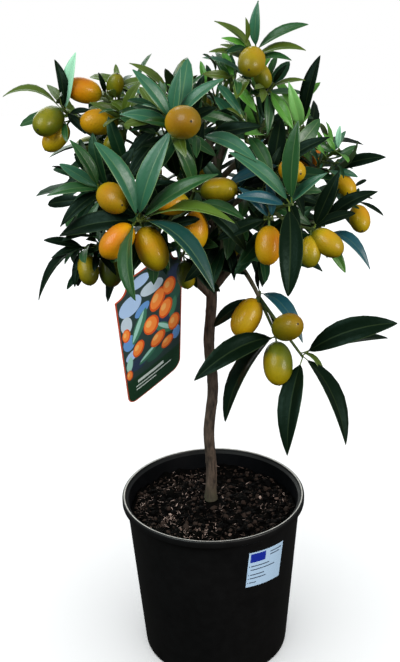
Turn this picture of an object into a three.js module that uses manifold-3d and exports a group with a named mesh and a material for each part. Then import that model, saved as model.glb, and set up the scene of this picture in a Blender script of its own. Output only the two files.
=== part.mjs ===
// A kumquat tree grown as a small standard in a round nursery pot.
// Millimetres, +Z up, front towards -Y, origin at the centre of the pot's flat underside.

import * as THREE from 'three';
import { mergeVertices } from 'three/addons/utils/BufferGeometryUtils.js';
import Module from 'manifold-3d';

const wasm = await Module();
wasm.setup();

// ---------------------------------------------------------------- driving dimensions

const CLEAR = 0.3;                      // gap kept between touching pieces
const SMALLEST = 0.02;                  // edges left by fusing are merged below this size

const POT = {
  rimRadius: 110,                       // outside of the rolled lip
  height: 207,
  baseRadius: 89,
  wallTop: 104.5,                       // outside radius just under the lip
  wall: 2.4,
  floor: 3,
  lipDepth: 9,
  lipRound: 2.2,
  sides: 30,
};

const SOIL = {
  level: 190,                           // top of the soil where the trunk stands
  flat: 26,                             // radius of the level middle
  edgeDrop: 5,                          // the surface falls towards the wall
};

const TRUNK = {
  foot: [-3, 11],                       // where its middle leaves the soil
  fork: [3, 5, 492],
  footRadius: 8.8,
  bodyRadius: 6.5,
  forkRadius: 6.1,
  flareHeight: 26,
  wave: 2.6,                            // sideways wander of the centre line
  waves: 2.5,
  sides: 12,
  steps: 13,
};

const SIDEWAYS = [0.31, 0.95, 0.08];    // sets how a limb's rings are turned
const BOUGH_SIDES = 5;
const BOUGH_STEPS = 3;
const TWIG = { hub: 2.2, tip: 1.5, sides: 3, steps: 2, run: 30 };

const LEAF = {
  width: 0.25,                          // widest part as a share of the length
  thick: 0.022,                         // at the midrib, as a share of the length
  low: 0.27,                            // places of the two widest sections
  high: 0.68,
  lowWidth: 0.78,
  highWidth: 0.94,
  fold: 0.22,                           // how far the edges rise beside the midrib
  whorl: 2,                             // spacing of the hand-placed leaves at a shoot's tip
  step: 5,                              // spacing of the others, further down the shoot
  root: 0.15,                           // share of a leaf that may touch its own shoot
  tries: 2,                             // places tried for each leaf
};

const FRUIT = {
  stalk: 7,
  stalkRadius: 1.1,
  plump: 0.33,                          // radius as a share of the length
  sides: 7,
  rings: [[0.72, 0.16], [1, 0.5], [0.74, 0.84]],   // share of the radius, share of the length
};

const CROWN = [0, 25, 590];             // middle of the crown
const EYE = [-11, -1054, 836];          // clock angles are read from here, in front of the plant
const SUNNY = [0, -0.7, 1];             // the way leaves turn: up, and to the front where the light is
const GOLDEN = 137.5;                   // turn from one leaf to the next, in degrees

const CARD = {
  width: 98,
  height: 190,                          // from its foot to its shoulders
  neck: 64,                             // width above the shoulders
  rise: 22,                             // height of the neck
  taper: 0.86,                          // width at the foot as a share of the full width
  thick: 1.2,
  corner: 14,                           // rounding of its lower corners
  middle: [-62, -60, 500],              // between its shoulders
  across: [0.71, 0.62, 0.33],
  down: [-0.02, 0.49, -0.87],
  strap: 1.7,
  hangShare: 0.75,                      // where the ring sits along its bough
  ringWall: 1.5,
  ringWidth: 7,
};

const LABEL = { width: 50, height: 48, thick: 0.6, turn: 35, middle: 156, tilt: -4, gap: 0.5 };

// Boughs: name, parent, share of the parent's length where it starts, tip, upward bow.
const BOUGHS = [
  ['leader', 'trunk', 0.97, [16, 22, 612], 0.06],
  ['left', 'trunk', 0.93, [-72, -22, 576], 0.10],
  ['lower_left', 'trunk', 0.88, [-84, -22, 519], 0.10],
  ['front', 'trunk', 0.95, [-36, -62, 560], 0.16],
  ['right_front', 'trunk', 0.96, [60, -56, 566], 0.10],
  ['right_low', 'trunk', 0.9, [104, -24, 546], 0.12],
  ['sprig', 'trunk', 0.93, [36, -30, 500], 0.30],
  ['back', 'trunk', 0.97, [-8, 86, 572], 0.12],
  ['back_low', 'trunk', 0.89, [26, 66, 520], 0.10],
  ['upper_left', 'leader', 0.35, [-74, 4, 642], 0.08],
  ['right_upper', 'leader', 0.4, [104, 8, 596], 0.08],
  ['back_left', 'leader', 0.25, [-70, 52, 588], 0.08],
  ['back_right', 'leader', 0.5, [70, 68, 596], 0.08],
  ['upper_front', 'leader', 0.6, [-22, -36, 646], 0.08],
  ['right_shoulder', 'leader', 0.72, [62, -2, 628], 0.06],
  ['back_top', 'leader', 0.82, [-10, 50, 664], 0.05],
  ['inner_front', 'leader', 0.15, [24, -26, 560], 0.06],
  ['top', 'leader', 0.96, [38, 4, 676], 0.04],
];

// Shoots: mass, tip, leaves, leaf length, hand-placed leaves, fruit.
// A leaf or fruit is [clock, towards, length]: the clock angle runs anticlockwise from the right, and
// towards is the angle out of that dial to the front. A leaf's fourth number turns its face from the eye
// towards the sky, and a fifth arches it upward, as a share of its length.
const SHOOTS = [
  // the front rosette, with its two large fruit
  ['front', [-71, -110, 577], 3, 84, [[-93, 32, 88, 50], [116, 10, 86, 40], [67, 10, 94, 30],
    [28, 15, 91, 50], [-4, 15, 94, 62, 0.02], [-47, 25, 106, 50, 0.08], [188, -20, 92, 30],
    [150, -30, 70, 20]], [[-137, 8, 42], [-69, 8, 46]]],
  ['front', [-12, -94, 590], 3, 70, [[-22, -12, 54, 40], [-45, -8, 70, 30]],
    [[180, 15, 36], [-93, 5, 40]]],
  ['front', [-14, -72, 596], 3, 72, [[111, 25, 60, 30], [80, 0, 70, 20]], [[2, 15, 38]]],
  ['front', [-27, -60, 524], 5, 66, [[-52, 5, 52, 30], [-20, 0, 70, 30]], [[-85, 10, 30]]],
  // upper front rosette
  ['upper_front', [-33, -84, 668], 7, 60, [[126, 10, 62, 35], [80, 10, 54, 30], [40, 10, 66, 48],
    [22, 0, 46, 20], [167, 40, 40, 30], [164, 10, 56, 20, 0.05]], [[5, 72, 48]]],
  ['upper_front', [-6, -60, 649], 6, 66, [[-25, 30, 70, 35, 0.05], [10, 20, 66, 30]], []],
  ['upper_front', [-48, -60, 652], 6, 56, [[155, 20, 44, 20], [230, 20, 56, 30]], []],
  ['upper_front', [-36, -24, 684], 4, 50, [[140, 20, 54, 55], [60, 10, 34, 20]], []],
  // top shoot
  ['top', [54, 0, 726], 9, 50, [[87, 10, 47, 20], [25, 10, 60, 50, 0.03], [141, 10, 53, 55],
    [150, 20, 40, 50], [8, 10, 55, 55, 0.05], [152, -10, 38, 55], [4, 15, 42, 50, 0.05],
    [161, 20, 48, 60, 0.05], [-100, 20, 46, 20]], [[-110, 68, 42], [-66, 10, 28]]],
  ['top', [72, 0, 690], 6, 46, [[54, 10, 24, 20], [11, 10, 36, 55], [-58, 20, 50, 10], [-90, 20, 46, 20]],
    []],
  ['top', [28, -10, 700], 6, 58, [[172, 40, 38, 10], [-50, 30, 46, 20], [120, 20, 28, 40]], []],
  // right front rosette
  ['right_front', [83, -100, 587], 3, 76, [[86, 15, 82, 35], [140, 12, 80, 45], [-90, 25, 96, 10],
    [39, 20, 52, 40], [170, 30, 56, 30]], []],
  ['right_front', [107, -82, 556], 1, 60, [[67, 10, 64, 5], [20, -20, 50, 30]],
    [[-92, 15, 33], [-36, 20, 38]]],
  ['right_front', [64, -92, 570], 2, 60, [[98, 10, 44, 30], [135, 15, 46, 30], [-158, 10, 56, 20]],
    [[-93, 15, 40]]],
  ['right_front', [77, -50, 615], 6, 66, [[200, 10, 60, 40], [30, 20, 60, 30]], [[-20, 60, 36]]],
  // hanging sprig on the right
  ['sprig', [99, -70, 410], 3, 96, [[-98, 15, 108, 25], [20, 15, 108, 15, 0.06],
    [-63, 15, 108, 50, 0.03], [11, -15, 100, 60], [-50, 0, 44, 60, 0.15]], []],
  ['sprig', [72, -60, 429], 3, 96, [[208, 20, 104, 20, 0.06], [240, 10, 108, 50, 0.04],
    [110, -10, 26, 50]], [[-86, 15, 48], [18, 60, 44]]],
  ['sprig', [52, -52, 468], 3, 70, [[212, -20, 62, 20, 0.04], [-49, 21, 74, 33, 0.12], [85, 5, 34, 50]],
    [[-118, 14, 46]]],
  // upper left spray
  ['upper_left', [-149, -10, 671], 7, 56, [[166, 5, 60, 60, 0.1], [95, 15, 52, 35], [97, 0, 24, 50],
    [76, 14, 62, 36], [-52, 40, 36, 10], [5, 30, 28, 30]], [[215, 50, 42]]],
  ['upper_left', [-140, -16, 662], 3, 40, [], [[-135, 10, 35]]],
  ['upper_left', [-104, 4, 683], 5, 48, [[105, 15, 24, 20], [18, 5, 50, 55], [-40, 40, 44, 20]],
    [[162, 15, 39], [75, 30, 27]]],
  ['upper_left', [-86, -22, 662], 6, 52, [[60, 30, 50, 40], [150, 30, 46, 30]],
    [[178, 15, 40], [-135, 20, 29]]],
  ['upper_left', [-78, 36, 680], 6, 52, [], []],
  // left middle
  ['left', [-109, -72, 601], 7, 52, [[118, 10, 56, 30], [146, 10, 48, 10], [184, 10, 56, 40],
    [217, 10, 58, 30], [-106, 15, 34, 20]], [[-40, 60, 44]]],
  ['left', [-124, -30, 580], 6, 44, [], []],
  ['left', [-136, 4, 592], 5, 42, [], []],
  ['left', [-88, -44, 618], 6, 56, [[22, 20, 40, 40], [45, 10, 56, 30]], []],
  // lower left
  ['lower_left', [-134, -40, 529], 7, 50, [[-105, 10, 42, 30], [166, 10, 44, 30], [193, 15, 40, 35],
    [223, 10, 78, 60, 0.1], [-80, 40, 30, 40], [-55, 20, 40, 20]], [[-85, 15, 34]]],
  ['lower_left', [-113, -26, 526], 5, 52, [[-60, 20, 50, 30]], [[-90, 20, 40]]],
  ['lower_left', [-92, 30, 502], 5, 56, [], []],
  // right upper
  ['right_upper', [141, 10, 596], 6, 54, [[14, 10, 56, 20, 0.03], [-12, 30, 34, 30]], [[-45, 25, 32]]],
  ['right_upper', [144, 10, 617], 5, 40, [[88, 10, 26, 20], [125, 10, 24, 20], [160, 20, 30, 30]], []],
  ['right_upper', [132, -26, 598], 2, 42, [], []],
  // right low
  ['right_low', [122, -46, 549], 3, 66, [[32, 15, 68, 30, 0.03], [60, 0, 44, 20]], []],
  ['right_low', [124, -50, 540], 3, 58, [[-37, 20, 62, 40, 0.12], [-57, 10, 48, 15]], []],
  ['right_low', [164, 0, 562], 4, 34, [], [[-75, 40, 34]]],
  // right shoulder, with the dark upright leaf
  ['right_shoulder', [104, 0, 645], 6, 60, [[77, 5, 74, 40], [106, 30, 56, 5], [-95, 30, 50, 10]], []],
  ['right_shoulder', [66, 22, 650], 6, 60, [[80, 10, 44, 20]], []],
  ['right_shoulder', [44, -32, 646], 6, 64, [[160, 20, 62, 30], [-60, 30, 60, 20]], []],
  // inside, behind the front rosettes
  ['inner_front', [34, -44, 588], 8, 66, [[64, 10, 58, 30]], []],
  ['right_front', [64, -46, 534], 6, 66, [[-30, 10, 66, 30]], []],
  ['inner_front', [14, -50, 542], 6, 70, [[-75, 10, 50, 30]], []],
  // back of the crown
  ['back_top', [-34, 72, 666], 8, 52, [], [[40, -60, 38]]],
  ['back_top', [26, 84, 664], 7, 52, [], [[200, -50, 38], [-60, -50, 36]]],
  ['back_top', [-8, 34, 676], 6, 42, [], []],
  ['back_left', [-112, 60, 622], 8, 64, [], [[190, -40, 40]]],
  ['back_left', [-122, 62, 566], 7, 64, [], [[-110, -40, 40], [210, -20, 38]]],
  ['back_left', [-72, 108, 596], 8, 66, [], [[-70, -50, 40]]],
  ['back_right', [112, 84, 606], 8, 66, [], [[-40, -50, 40]]],
  ['back_right', [72, 118, 576], 8, 66, [], [[-100, -40, 42], [-20, -60, 38]]],
  ['back_right', [62, 96, 640], 7, 62, [], []],
  ['back', [-22, 142, 604], 8, 70, [], [[-120, -40, 42], [-60, -40, 44]]],
  ['back', [20, 132, 566], 7, 68, [], [[-90, -40, 40]]],
  ['back', [-48, 118, 548], 7, 66, [], [[-100, -30, 38]]],
  ['back_low', [46, 92, 512], 7, 66, [], [[-100, -30, 40]]],
  ['back_low', [98, 62, 534], 7, 66, [], [[-80, -20, 38]]],
  ['back', [-58, 84, 516], 6, 66, [], [[-110, -20, 38]]],
  ['inner_front', [-30, -34, 600], 8, 64, [], []],
  ['right_front', [60, -54, 584], 6, 56, [], []],
  ['front', [-64, -82, 560], 8, 58, [], []],
];

// ---------------------------------------------------------------- helpers

const vec = (a) => new THREE.Vector3(...a);
const radians = THREE.MathUtils.degToRad;
const UP = new THREE.Vector3(0, 0, 1);

// Seeded numbers from 0 to 1: next = (1664525 last + 1013904223) modulo 2^32.
function seeded(seed) {
  let state = seed >>> 0;
  return () => {
    state = (Math.imul(1664525, state) + 1013904223) >>> 0;
    return state / 2 ** 32;
  };
}

function bare(geometry) {
  const copy = geometry.clone();
  copy.deleteAttribute('normal');
  copy.deleteAttribute('uv');
  return mergeVertices(copy, 1e-4);
}

function toSolid(geometry) {
  const merged = bare(geometry);
  return new wasm.Manifold(new wasm.Mesh({
    numProp: 3,
    vertProperties: new Float32Array(merged.attributes.position.array),
    triVerts: new Uint32Array(merged.index.array),
  }));
}

function toGeometry(solid) {
  const mesh = solid.getMesh();
  const geometry = new THREE.BufferGeometry();
  geometry.setAttribute('position', new THREE.BufferAttribute(mesh.vertProperties, 3));
  geometry.setIndex(new THREE.BufferAttribute(mesh.triVerts, 1));
  geometry.computeVertexNormals();
  return geometry;
}

// The largest body of a solid: loose scraps and sealed hollows are dropped.
function largest(solid) {
  return solid.decompose().reduce((a, b) => (a.volume() > b.volume() ? a : b));
}

// A round limb along a curve: a cylinder whose rings are moved onto the curve and sized by radius(t).
function limb(curve, radius, sides, steps) {
  const tube = new THREE.CylinderGeometry(1, 1, 1, sides, steps);
  const place = tube.attributes.position;
  const point = new THREE.Vector3();
  for (let i = 0; i < place.count; i++) {
    point.fromBufferAttribute(place, i);
    const t = point.y + 0.5;
    const along = curve.getTangent(t);
    const side = vec(SIDEWAYS).cross(along).normalize();
    const other = along.clone().cross(side);
    const rim = curve.getPoint(t)
      .addScaledVector(side, point.z * radius(t))
      .addScaledVector(other, point.x * radius(t));
    place.setXYZ(i, rim.x, rim.y, rim.z);
  }
  return tube;
}

const between = (a, b) => (t) => a + (b - a) * t;

// The point and direction at t on the middle line of a limb, which is straight from step to step.
function onSteps(curve, steps, t) {
  const place = steps * THREE.MathUtils.clamp(t, 0, 1);
  const step = Math.min(steps - 1, Math.floor(place));
  const [low, high] = [step, step + 1].map((k) => curve.getPoint(k / steps));
  const along = high.clone().sub(low).normalize();
  return { point: low.lerp(high, place - step), along };
}

// ---------------------------------------------------------------- finishes

const finish = (color, roughness) => new THREE.MeshStandardMaterial({ color, roughness, metalness: 0 });
const POT_BLACK = finish(0x17181b, 0.5);
const SOIL_BROWN = finish(0x2b2119, 1);
const BARK = finish(0x6b584b, 0.9);
const FOLIAGE = finish(0x2f5d3a, 0.45);
const CARD_PRINT = finish(0xd9622e, 0.5);
const LABEL_WHITE = finish(0xe9edf2, 0.5);

const plant = new THREE.Group();

function addNode(name, geometry, material) {
  const mesh = new THREE.Mesh(geometry, material);
  mesh.name = name;
  plant.add(mesh);
  return mesh;
}

// ---------------------------------------------------------------- pot, soil and label

const outside = (z) => POT.baseRadius + (POT.wallTop - POT.baseRadius) * (z / (POT.height - POT.lipDepth));

function potGeometry() {
  const under = POT.height - POT.lipDepth;
  const inner = (z) => outside(z) - POT.wall;
  const lip = POT.rimRadius;
  const round = POT.lipRound;
  const profile = [
    [0, 0], [POT.baseRadius - round, 0], [POT.baseRadius, round],
    [outside(under), under], [lip - round, under], [lip, under + round],
    [lip, POT.height - round], [lip - round, POT.height], [inner(under) + round, POT.height],
    [inner(under), POT.height - round], [inner(POT.floor), POT.floor], [0, POT.floor],
  ];
  const points = profile.map(([r, z]) => new THREE.Vector2(r, z));
  return new THREE.LatheGeometry(points, POT.sides).rotateX(Math.PI / 2);
}

function soilGeometry() {
  const edge = SOIL.level - SOIL.edgeDrop;
  const bottom = POT.floor + CLEAR;
  const inner = (z) => outside(z) - POT.wall - 2 * CLEAR;
  const profile = [
    [0, bottom], [inner(bottom), bottom], [inner(edge), edge],
    [(inner(edge) + SOIL.flat) / 2, SOIL.level - SOIL.edgeDrop / 2], [SOIL.flat, SOIL.level], [0, SOIL.level],
  ];
  const points = profile.map(([r, z]) => new THREE.Vector2(r, z));
  return new THREE.LatheGeometry(points, POT.sides).rotateX(Math.PI / 2);
}

// A flat sticker bent round the pot's wall.
function labelGeometry() {
  const box = new THREE.BoxGeometry(LABEL.width, LABEL.thick, LABEL.height, 6, 1, 1);
  box.rotateY(radians(-LABEL.tilt));
  const place = box.attributes.position;
  for (let i = 0; i < place.count; i++) {
    const z = LABEL.middle + place.getZ(i);
    const r = outside(z) + LABEL.gap + LABEL.thick / 2 - place.getY(i);
    const turn = radians(LABEL.turn) + place.getX(i) / outside(LABEL.middle);
    place.setXYZ(i, r * Math.sin(turn), -r * Math.cos(turn), z);
  }
  return box;
}

// ---------------------------------------------------------------- trunk and boughs

class TrunkLine extends THREE.Curve {
  getPoint(t, target = new THREE.Vector3()) {
    const [x0, y0] = TRUNK.foot;
    const [x1, y1, z1] = TRUNK.fork;
    const z0 = SOIL.level + CLEAR;
    const sway = TRUNK.wave * Math.sin(Math.PI * t) * Math.sin(2 * Math.PI * TRUNK.waves * t);
    return target.set(x0 + (x1 - x0) * t + sway, y0 + (y1 - y0) * t + sway * 0.6, z0 + (z1 - z0) * t);
  }

  // The foot is cut level, so the line leaves it upright.
  getTangent(t, target = new THREE.Vector3()) {
    return t < 1e-6 ? target.copy(UP) : super.getTangent(t, target);
  }
}

function trunkRadius(t) {
  const height = t * (TRUNK.fork[2] - SOIL.level);
  const flare = (TRUNK.footRadius - TRUNK.bodyRadius) * Math.exp(-3 * height / TRUNK.flareHeight);
  return TRUNK.bodyRadius + (TRUNK.forkRadius - TRUNK.bodyRadius) * t + flare;
}

const lines = { trunk: { curve: new TrunkLine(), radius: trunkRadius } };

function boughLine([, parentName, share, tip, bow]) {
  const parent = lines[parentName];
  const start = parent.curve.getPoint(share);
  const end = vec(tip);
  const middle = start.clone().lerp(end, 0.5).addScaledVector(UP, bow * start.distanceTo(end) * 2);
  return new THREE.QuadraticBezierCurve3(start, middle, end);
}

// ---------------------------------------------------------------- leaves, fruit and twigs

// The direction at a clock angle and an angle towards the eye, as seen at a point.
function aimed(at, clock, towards) {
  const ahead = at.clone().sub(vec(EYE)).normalize();
  const right = ahead.clone().cross(UP).normalize();
  const above = right.clone().cross(ahead);
  const c = radians(clock);
  const t = radians(towards);
  return right.multiplyScalar(Math.cos(c) * Math.cos(t))
    .addScaledVector(above, Math.sin(c) * Math.cos(t))
    .addScaledVector(ahead, -Math.sin(t));
}

// A direction made square to another.
const squareTo = (along, way) => way.addScaledVector(along, -way.dot(along)).normalize();

// The side of a leaf that faces the light: sunwards and out of the crown, then rolled.
function leafFace(base, along, roll) {
  const light = base.clone().sub(vec(CROWN)).normalize().multiplyScalar(0.8).add(vec(SUNNY));
  return squareTo(along, light).applyAxisAngle(along, radians(roll));
}

// The face of a hand-placed leaf: it looks at the eye, then turns towards the sky.
function aimedFace(base, along, turn) {
  const eyeward = squareTo(along, vec(EYE).sub(base));
  const lifted = along.clone().cross(eyeward);
  if (lifted.z < 0) lifted.negate();
  return eyeward.multiplyScalar(Math.cos(radians(turn))).addScaledVector(lifted, Math.sin(radians(turn)));
}

// A pointed blade in two halves folded up beside the midrib, bowed towards its face and arched upward.
// A broad one has two wide sections, a plain one has one. A cut leaves out the root, for the test of the
// free end.
function leafGeometry({ base, along, face, length, bow, arch, broad }, extra = 0, cut = 0) {
  const across = along.clone().cross(face);
  const half = LEAF.width * length / 2 + extra;
  const at = (t, side, lift) => base.clone()
    .addScaledVector(along, t * length)
    .addScaledVector(across, side)
    .addScaledVector(face, 4 * bow * length * t * (1 - t) + lift)
    .addScaledVector(UP, 4 * arch * length * t * (1 - t));
  const deep = LEAF.thick * length / 2 + extra;
  const sections = broad ? [[LEAF.low, LEAF.lowWidth], [LEAF.high, LEAF.highWidth]] : [[0.46, 1]];
  const edge = (sign) => sections.map(([t, w]) => at(t, sign * w * half, LEAF.fold * w * half));
  const rim = [at(cut, 0, 0), ...edge(1), at(1, 0, 0), ...edge(-1).reverse()];
  const top = rim.length;
  const geometry = new THREE.BufferGeometry().setFromPoints([...rim, at(0.5, 0, deep), at(0.5, 0, -deep)]);
  const faces = rim.map((_, i) => [[i, (i + 1) % top, top], [(i + 1) % top, i, top + 1]]);
  geometry.setIndex(faces.flat(2));
  return geometry;
}

// An oval fruit turned in one piece with its stalk. Without the stalk it starts at its shoulder.
function fruitGeometry({ base, along, length }, extra = 0, stalk = true) {
  const radius = FRUIT.plump * length;
  const neck = [[0, 0], [FRUIT.stalkRadius, FRUIT.stalk]];
  const body = FRUIT.rings.map(([r, y]) => [r * radius + extra, FRUIT.stalk + y * length]);
  const profile = [...(stalk ? neck : [[0, FRUIT.stalk]]), ...body, [0, FRUIT.stalk + length + extra]];
  const turned = new THREE.LatheGeometry(profile.map(([r, y]) => new THREE.Vector2(r, y)), FRUIT.sides);
  turned.applyQuaternion(new THREE.Quaternion().setFromUnitVectors(new THREE.Vector3(0, 1, 0), along));
  return turned.translate(base.x, base.y, base.z);
}

// ---------------------------------------------------------------- growing the crown

const taken = [];                       // every solid placed so far, with its node

function boxesMeet(a, b) {
  return [0, 1, 2].every((k) => a.min[k] - CLEAR < b.max[k] && b.min[k] - CLEAR < a.max[k]);
}

// Whether a solid comes within the gap of another node, or its free end touches its own mass.
function crowded(solid, node, freeEnd) {
  const box = solid.boundingBox();
  return taken.some((other) => {
    if (!boxesMeet(box, other.box)) return false;
    const own = other.node === node;
    if (own && !freeEnd) return false;
    return (own ? freeEnd : solid).minGap(other.solid, 2 * CLEAR) < CLEAR;
  });
}

function take(solid, node) {
  taken.push({ solid, node, box: solid.boundingBox() });
}

const pieces = {};                      // solids of each mass, to be fused

function keep(solid, node) {
  take(solid, node);
  pieces[node].push(solid);
}

function outward(tip) {
  return tip.clone().sub(vec(CROWN)).normalize().addScaledVector(UP, 0.35).normalize();
}

function growShoot(row, index, hub) {
  const [mass, tipPlace, leaves, leafLength, aims, fruit] = row;
  const node = `foliage_${mass}`;
  const tip = vec(tipPlace);
  const axis = mass === 'sprig' ? tip.clone().sub(hub).normalize() : outward(tip);
  const knee = tip.clone().addScaledVector(axis, -TWIG.run);
  const line = new THREE.QuadraticBezierCurve3(hub, knee, tip);
  const twig = toSolid(limb(line, between(TWIG.hub, TWIG.tip), TWIG.sides, TWIG.steps));
  return { node, tip, axis, line, twig, leaves, leafLength, aims, fruit, reach: hub.distanceTo(tip), index };
}

// A point a given way back from a shoot's tip.
const backFromTip = (shoot, way) => onSteps(shoot.line, TWIG.steps, 1 - way / shoot.reach).point;

function hangFruit(shoot) {
  shoot.fruit.forEach(([clock, towards, length], k) => {
    const base = backFromTip(shoot, 3 + 4 * k);
    const fruit = { base, along: aimed(base, clock, towards), length };
    const body = toSolid(fruitGeometry(fruit, 0, false));
    if (crowded(toSolid(fruitGeometry(fruit, CLEAR)), shoot.node, body)) return;
    keep(toSolid(fruitGeometry(fruit)), shoot.node);
  });
}

function growLeaves(shoot) {
  const draw = seeded(7919 * (shoot.index + 1));
  const side = shoot.axis.clone().cross(UP).normalize();
  const other = side.clone().cross(shoot.axis);
  const first = 360 * draw();
  const wanted = Math.max(shoot.leaves, shoot.aims.length);
  const places = LEAF.tries * wanted;
  const step = Math.min(LEAF.step, 0.85 * shoot.reach / places);
  let grownLeaves = 0;
  for (let k = 0; k < places && grownLeaves < wanted; k++) {
    const jitter = [draw(), draw(), draw(), draw(), draw()];
    const broad = k < shoot.aims.length;
    const near = Math.min(k, shoot.aims.length);
    const base = backFromTip(shoot, 1 + LEAF.whorl * near + step * (k - near));
    const turn = radians(first + GOLDEN * k + 24 * (jitter[0] - 0.5));
    const spread = radians(40 + 45 * (k / places) + 20 * (jitter[1] - 0.5));
    let along = shoot.axis.clone().multiplyScalar(Math.cos(spread))
      .addScaledVector(side, Math.sin(spread) * Math.cos(turn))
      .addScaledVector(other, Math.sin(spread) * Math.sin(turn));
    along.addScaledVector(UP, -0.15).normalize();
    let length = shoot.leafLength * (0.8 + 0.4 * jitter[2]);
    let face = leafFace(base, along, 40 * (jitter[3] - 0.5));
    let arch = 0;
    if (broad) {
      const [clock, towards, longest, turned = 0, arched = 0] = shoot.aims[k];
      along = aimed(base, clock, towards);
      length = longest;
      face = aimedFace(base, along, turned);
      arch = arched;
    }
    const bow = 0.05 + 0.09 * jitter[4];
    const leaf = { base, along, face, length, bow, arch, broad };
    const blade = toSolid(leafGeometry(leaf, CLEAR));
    const freeEnd = broad ? null : toSolid(leafGeometry(leaf, 0, LEAF.root));
    if (crowded(blade, shoot.node, freeEnd)) continue;
    keep(toSolid(leafGeometry(leaf)), shoot.node);
    grownLeaves += 1;
  }
}

// ---------------------------------------------------------------- tag

// A flat card with rounded lower corners, its top edge centred on the origin and then turned.
function cardGeometry() {
  const { width, height, neck, rise, taper, thick, corner } = CARD;
  const outline = new THREE.Shape();
  outline.moveTo(-width / 2, 0);
  outline.lineTo(-width / 2, corner - height);
  outline.absarc(corner - width / 2, corner - height, corner, Math.PI, 1.5 * Math.PI);
  outline.absarc(width / 2 - corner, corner - height, corner, 1.5 * Math.PI, 2 * Math.PI);
  outline.lineTo(width / 2, 0);
  outline.quadraticCurveTo(neck / 2, 0, neck / 2, rise);
  outline.lineTo(-neck / 2, rise);
  outline.quadraticCurveTo(-neck / 2, 0, -width / 2, 0);
  const card = new THREE.ExtrudeGeometry(outline, { depth: thick, bevelEnabled: false, curveSegments: 4 });
  const corners = card.getAttribute('position');
  for (let k = 0; k < corners.count; k++) {
    const down = Math.max(0, -corners.getY(k) / height);
    corners.setX(k, corners.getX(k) * (1 - (1 - taper) * down));
  }
  card.translate(0, 0, -thick / 2);
  const upright = vec(CARD.down).negate().normalize();
  const facing = vec(CARD.across).cross(upright).normalize();
  const across = upright.clone().cross(facing);
  card.applyMatrix4(new THREE.Matrix4().makeBasis(across, upright, facing));
  return card.translate(...CARD.middle);
}

// The card hangs by a strap from a ring round its bough.
function tagSolid(bough) {
  const { point: at, along } = onSteps(bough.curve, BOUGH_STEPS, CARD.hangShare);
  const inner = bough.radius(CARD.hangShare) + 2 * CLEAR;
  const outer = inner + CARD.ringWall;
  const half = CARD.ringWidth / 2;
  const section = [[inner, -half], [outer, -half], [outer, half], [inner, half], [inner, -half]];
  const ring = new THREE.LatheGeometry(section.map(([r, y]) => new THREE.Vector2(r, y)), 10);
  ring.applyQuaternion(new THREE.Quaternion().setFromUnitVectors(new THREE.Vector3(0, 1, 0), along));
  ring.translate(at.x, at.y, at.z);
  const neck = vec(CARD.middle).addScaledVector(vec(CARD.down), 2 * CARD.strap);
  const way = neck.clone().sub(at);
  way.addScaledVector(along, -way.dot(along)).normalize();
  const start = at.clone().addScaledVector(way, inner + CARD.ringWall / 2);
  const strap = limb(new THREE.LineCurve3(start, neck), () => CARD.strap, 4, 1);
  return wasm.Manifold.union([toSolid(cardGeometry()), toSolid(ring), toSolid(strap)]);
}

// ---------------------------------------------------------------- assembly

addNode('pot', bare(potGeometry()), POT_BLACK);
addNode('soil', bare(soilGeometry()), SOIL_BROWN);
addNode('pot_label', bare(labelGeometry()), LABEL_WHITE);

const trunkSolid = toSolid(limb(lines.trunk.curve, trunkRadius, TRUNK.sides, TRUNK.steps));
addNode('trunk', toGeometry(trunkSolid), BARK);
take(trunkSolid, 'trunk');
const grown = [toSolid(limb(lines.trunk.curve, (t) => trunkRadius(t) + CLEAR, TRUNK.sides, TRUNK.steps))];

for (const row of BOUGHS) {
  const [name, parentName] = row;
  const thick = lines[parentName].radius(row[2]);
  const radius = parentName === 'trunk' ? between(Math.min(5, thick), 3) : between(Math.min(3.6, thick), 2.6);
  const curve = boughLine(row);
  lines[name] = { curve, radius };
  let solid = toSolid(limb(curve, radius, BOUGH_SIDES, BOUGH_STEPS));
  for (const other of grown) solid = solid.subtract(other);
  solid = largest(solid);
  grown.push(toSolid(limb(curve, (t) => radius(t) + CLEAR, BOUGH_SIDES, BOUGH_STEPS)));
  addNode(`bough_${name}`, toGeometry(solid), BARK);
  take(solid, `bough_${name}`);
}

const tag = tagSolid(lines.lower_left);
addNode('plant_tag', toGeometry(tag), CARD_PRINT);
take(tag, 'plant_tag');

// Stems and twigs first, then fruit, then leaves, so that each keeps clear of what is already there.
const shoots = [];
for (const [name] of BOUGHS.slice(1)) {
  const node = `foliage_${name}`;
  const rows = SHOOTS.filter(([mass]) => mass === name);
  const { curve, radius } = lines[name];
  const leaving = curve.getTangent(1);
  const start = curve.getPoint(1).addScaledVector(leaving, CLEAR);
  const hub = new THREE.Vector3();
  for (const [, tip] of rows) hub.addScaledVector(vec(tip), 1 / rows.length);
  hub.lerp(start, 0.55);
  const middle = start.clone().addScaledVector(leaving, 0.5 * start.distanceTo(hub));
  const stem = new THREE.QuadraticBezierCurve3(start, middle, hub);
  pieces[node] = [];
  keep(toSolid(limb(stem, between(radius(1), TWIG.hub), TWIG.sides, 2)), node);
  for (const row of rows) {
    const shoot = growShoot(row, SHOOTS.indexOf(row), hub);
    if (crowded(shoot.twig, node)) continue;
    keep(shoot.twig, node);
    shoots.push(shoot);
  }
}
shoots.sort((a, b) => a.index - b.index);
shoots.forEach(hangFruit);
shoots.forEach(growLeaves);

for (const [node, solids] of Object.entries(pieces)) {
  addNode(node, toGeometry(largest(wasm.Manifold.union(solids)).simplify(SMALLEST)), FOLIAGE);
}

export default plant;
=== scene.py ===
# %% [markdown]
# # A kumquat tree in its nursery pot
#
# A young kumquat is grown as a small standard: one bare stem, a round head of narrow waxy leaves, and oval
# fruit that turn from green to orange. It stands in a black moulded pot with a sticker on its wall, and a
# printed card hangs from a bough. The solid model fixes where every piece is. This lesson makes the real
# surfaces round it, one kind of piece at a time.

# %% Load the solid model
import math

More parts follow.
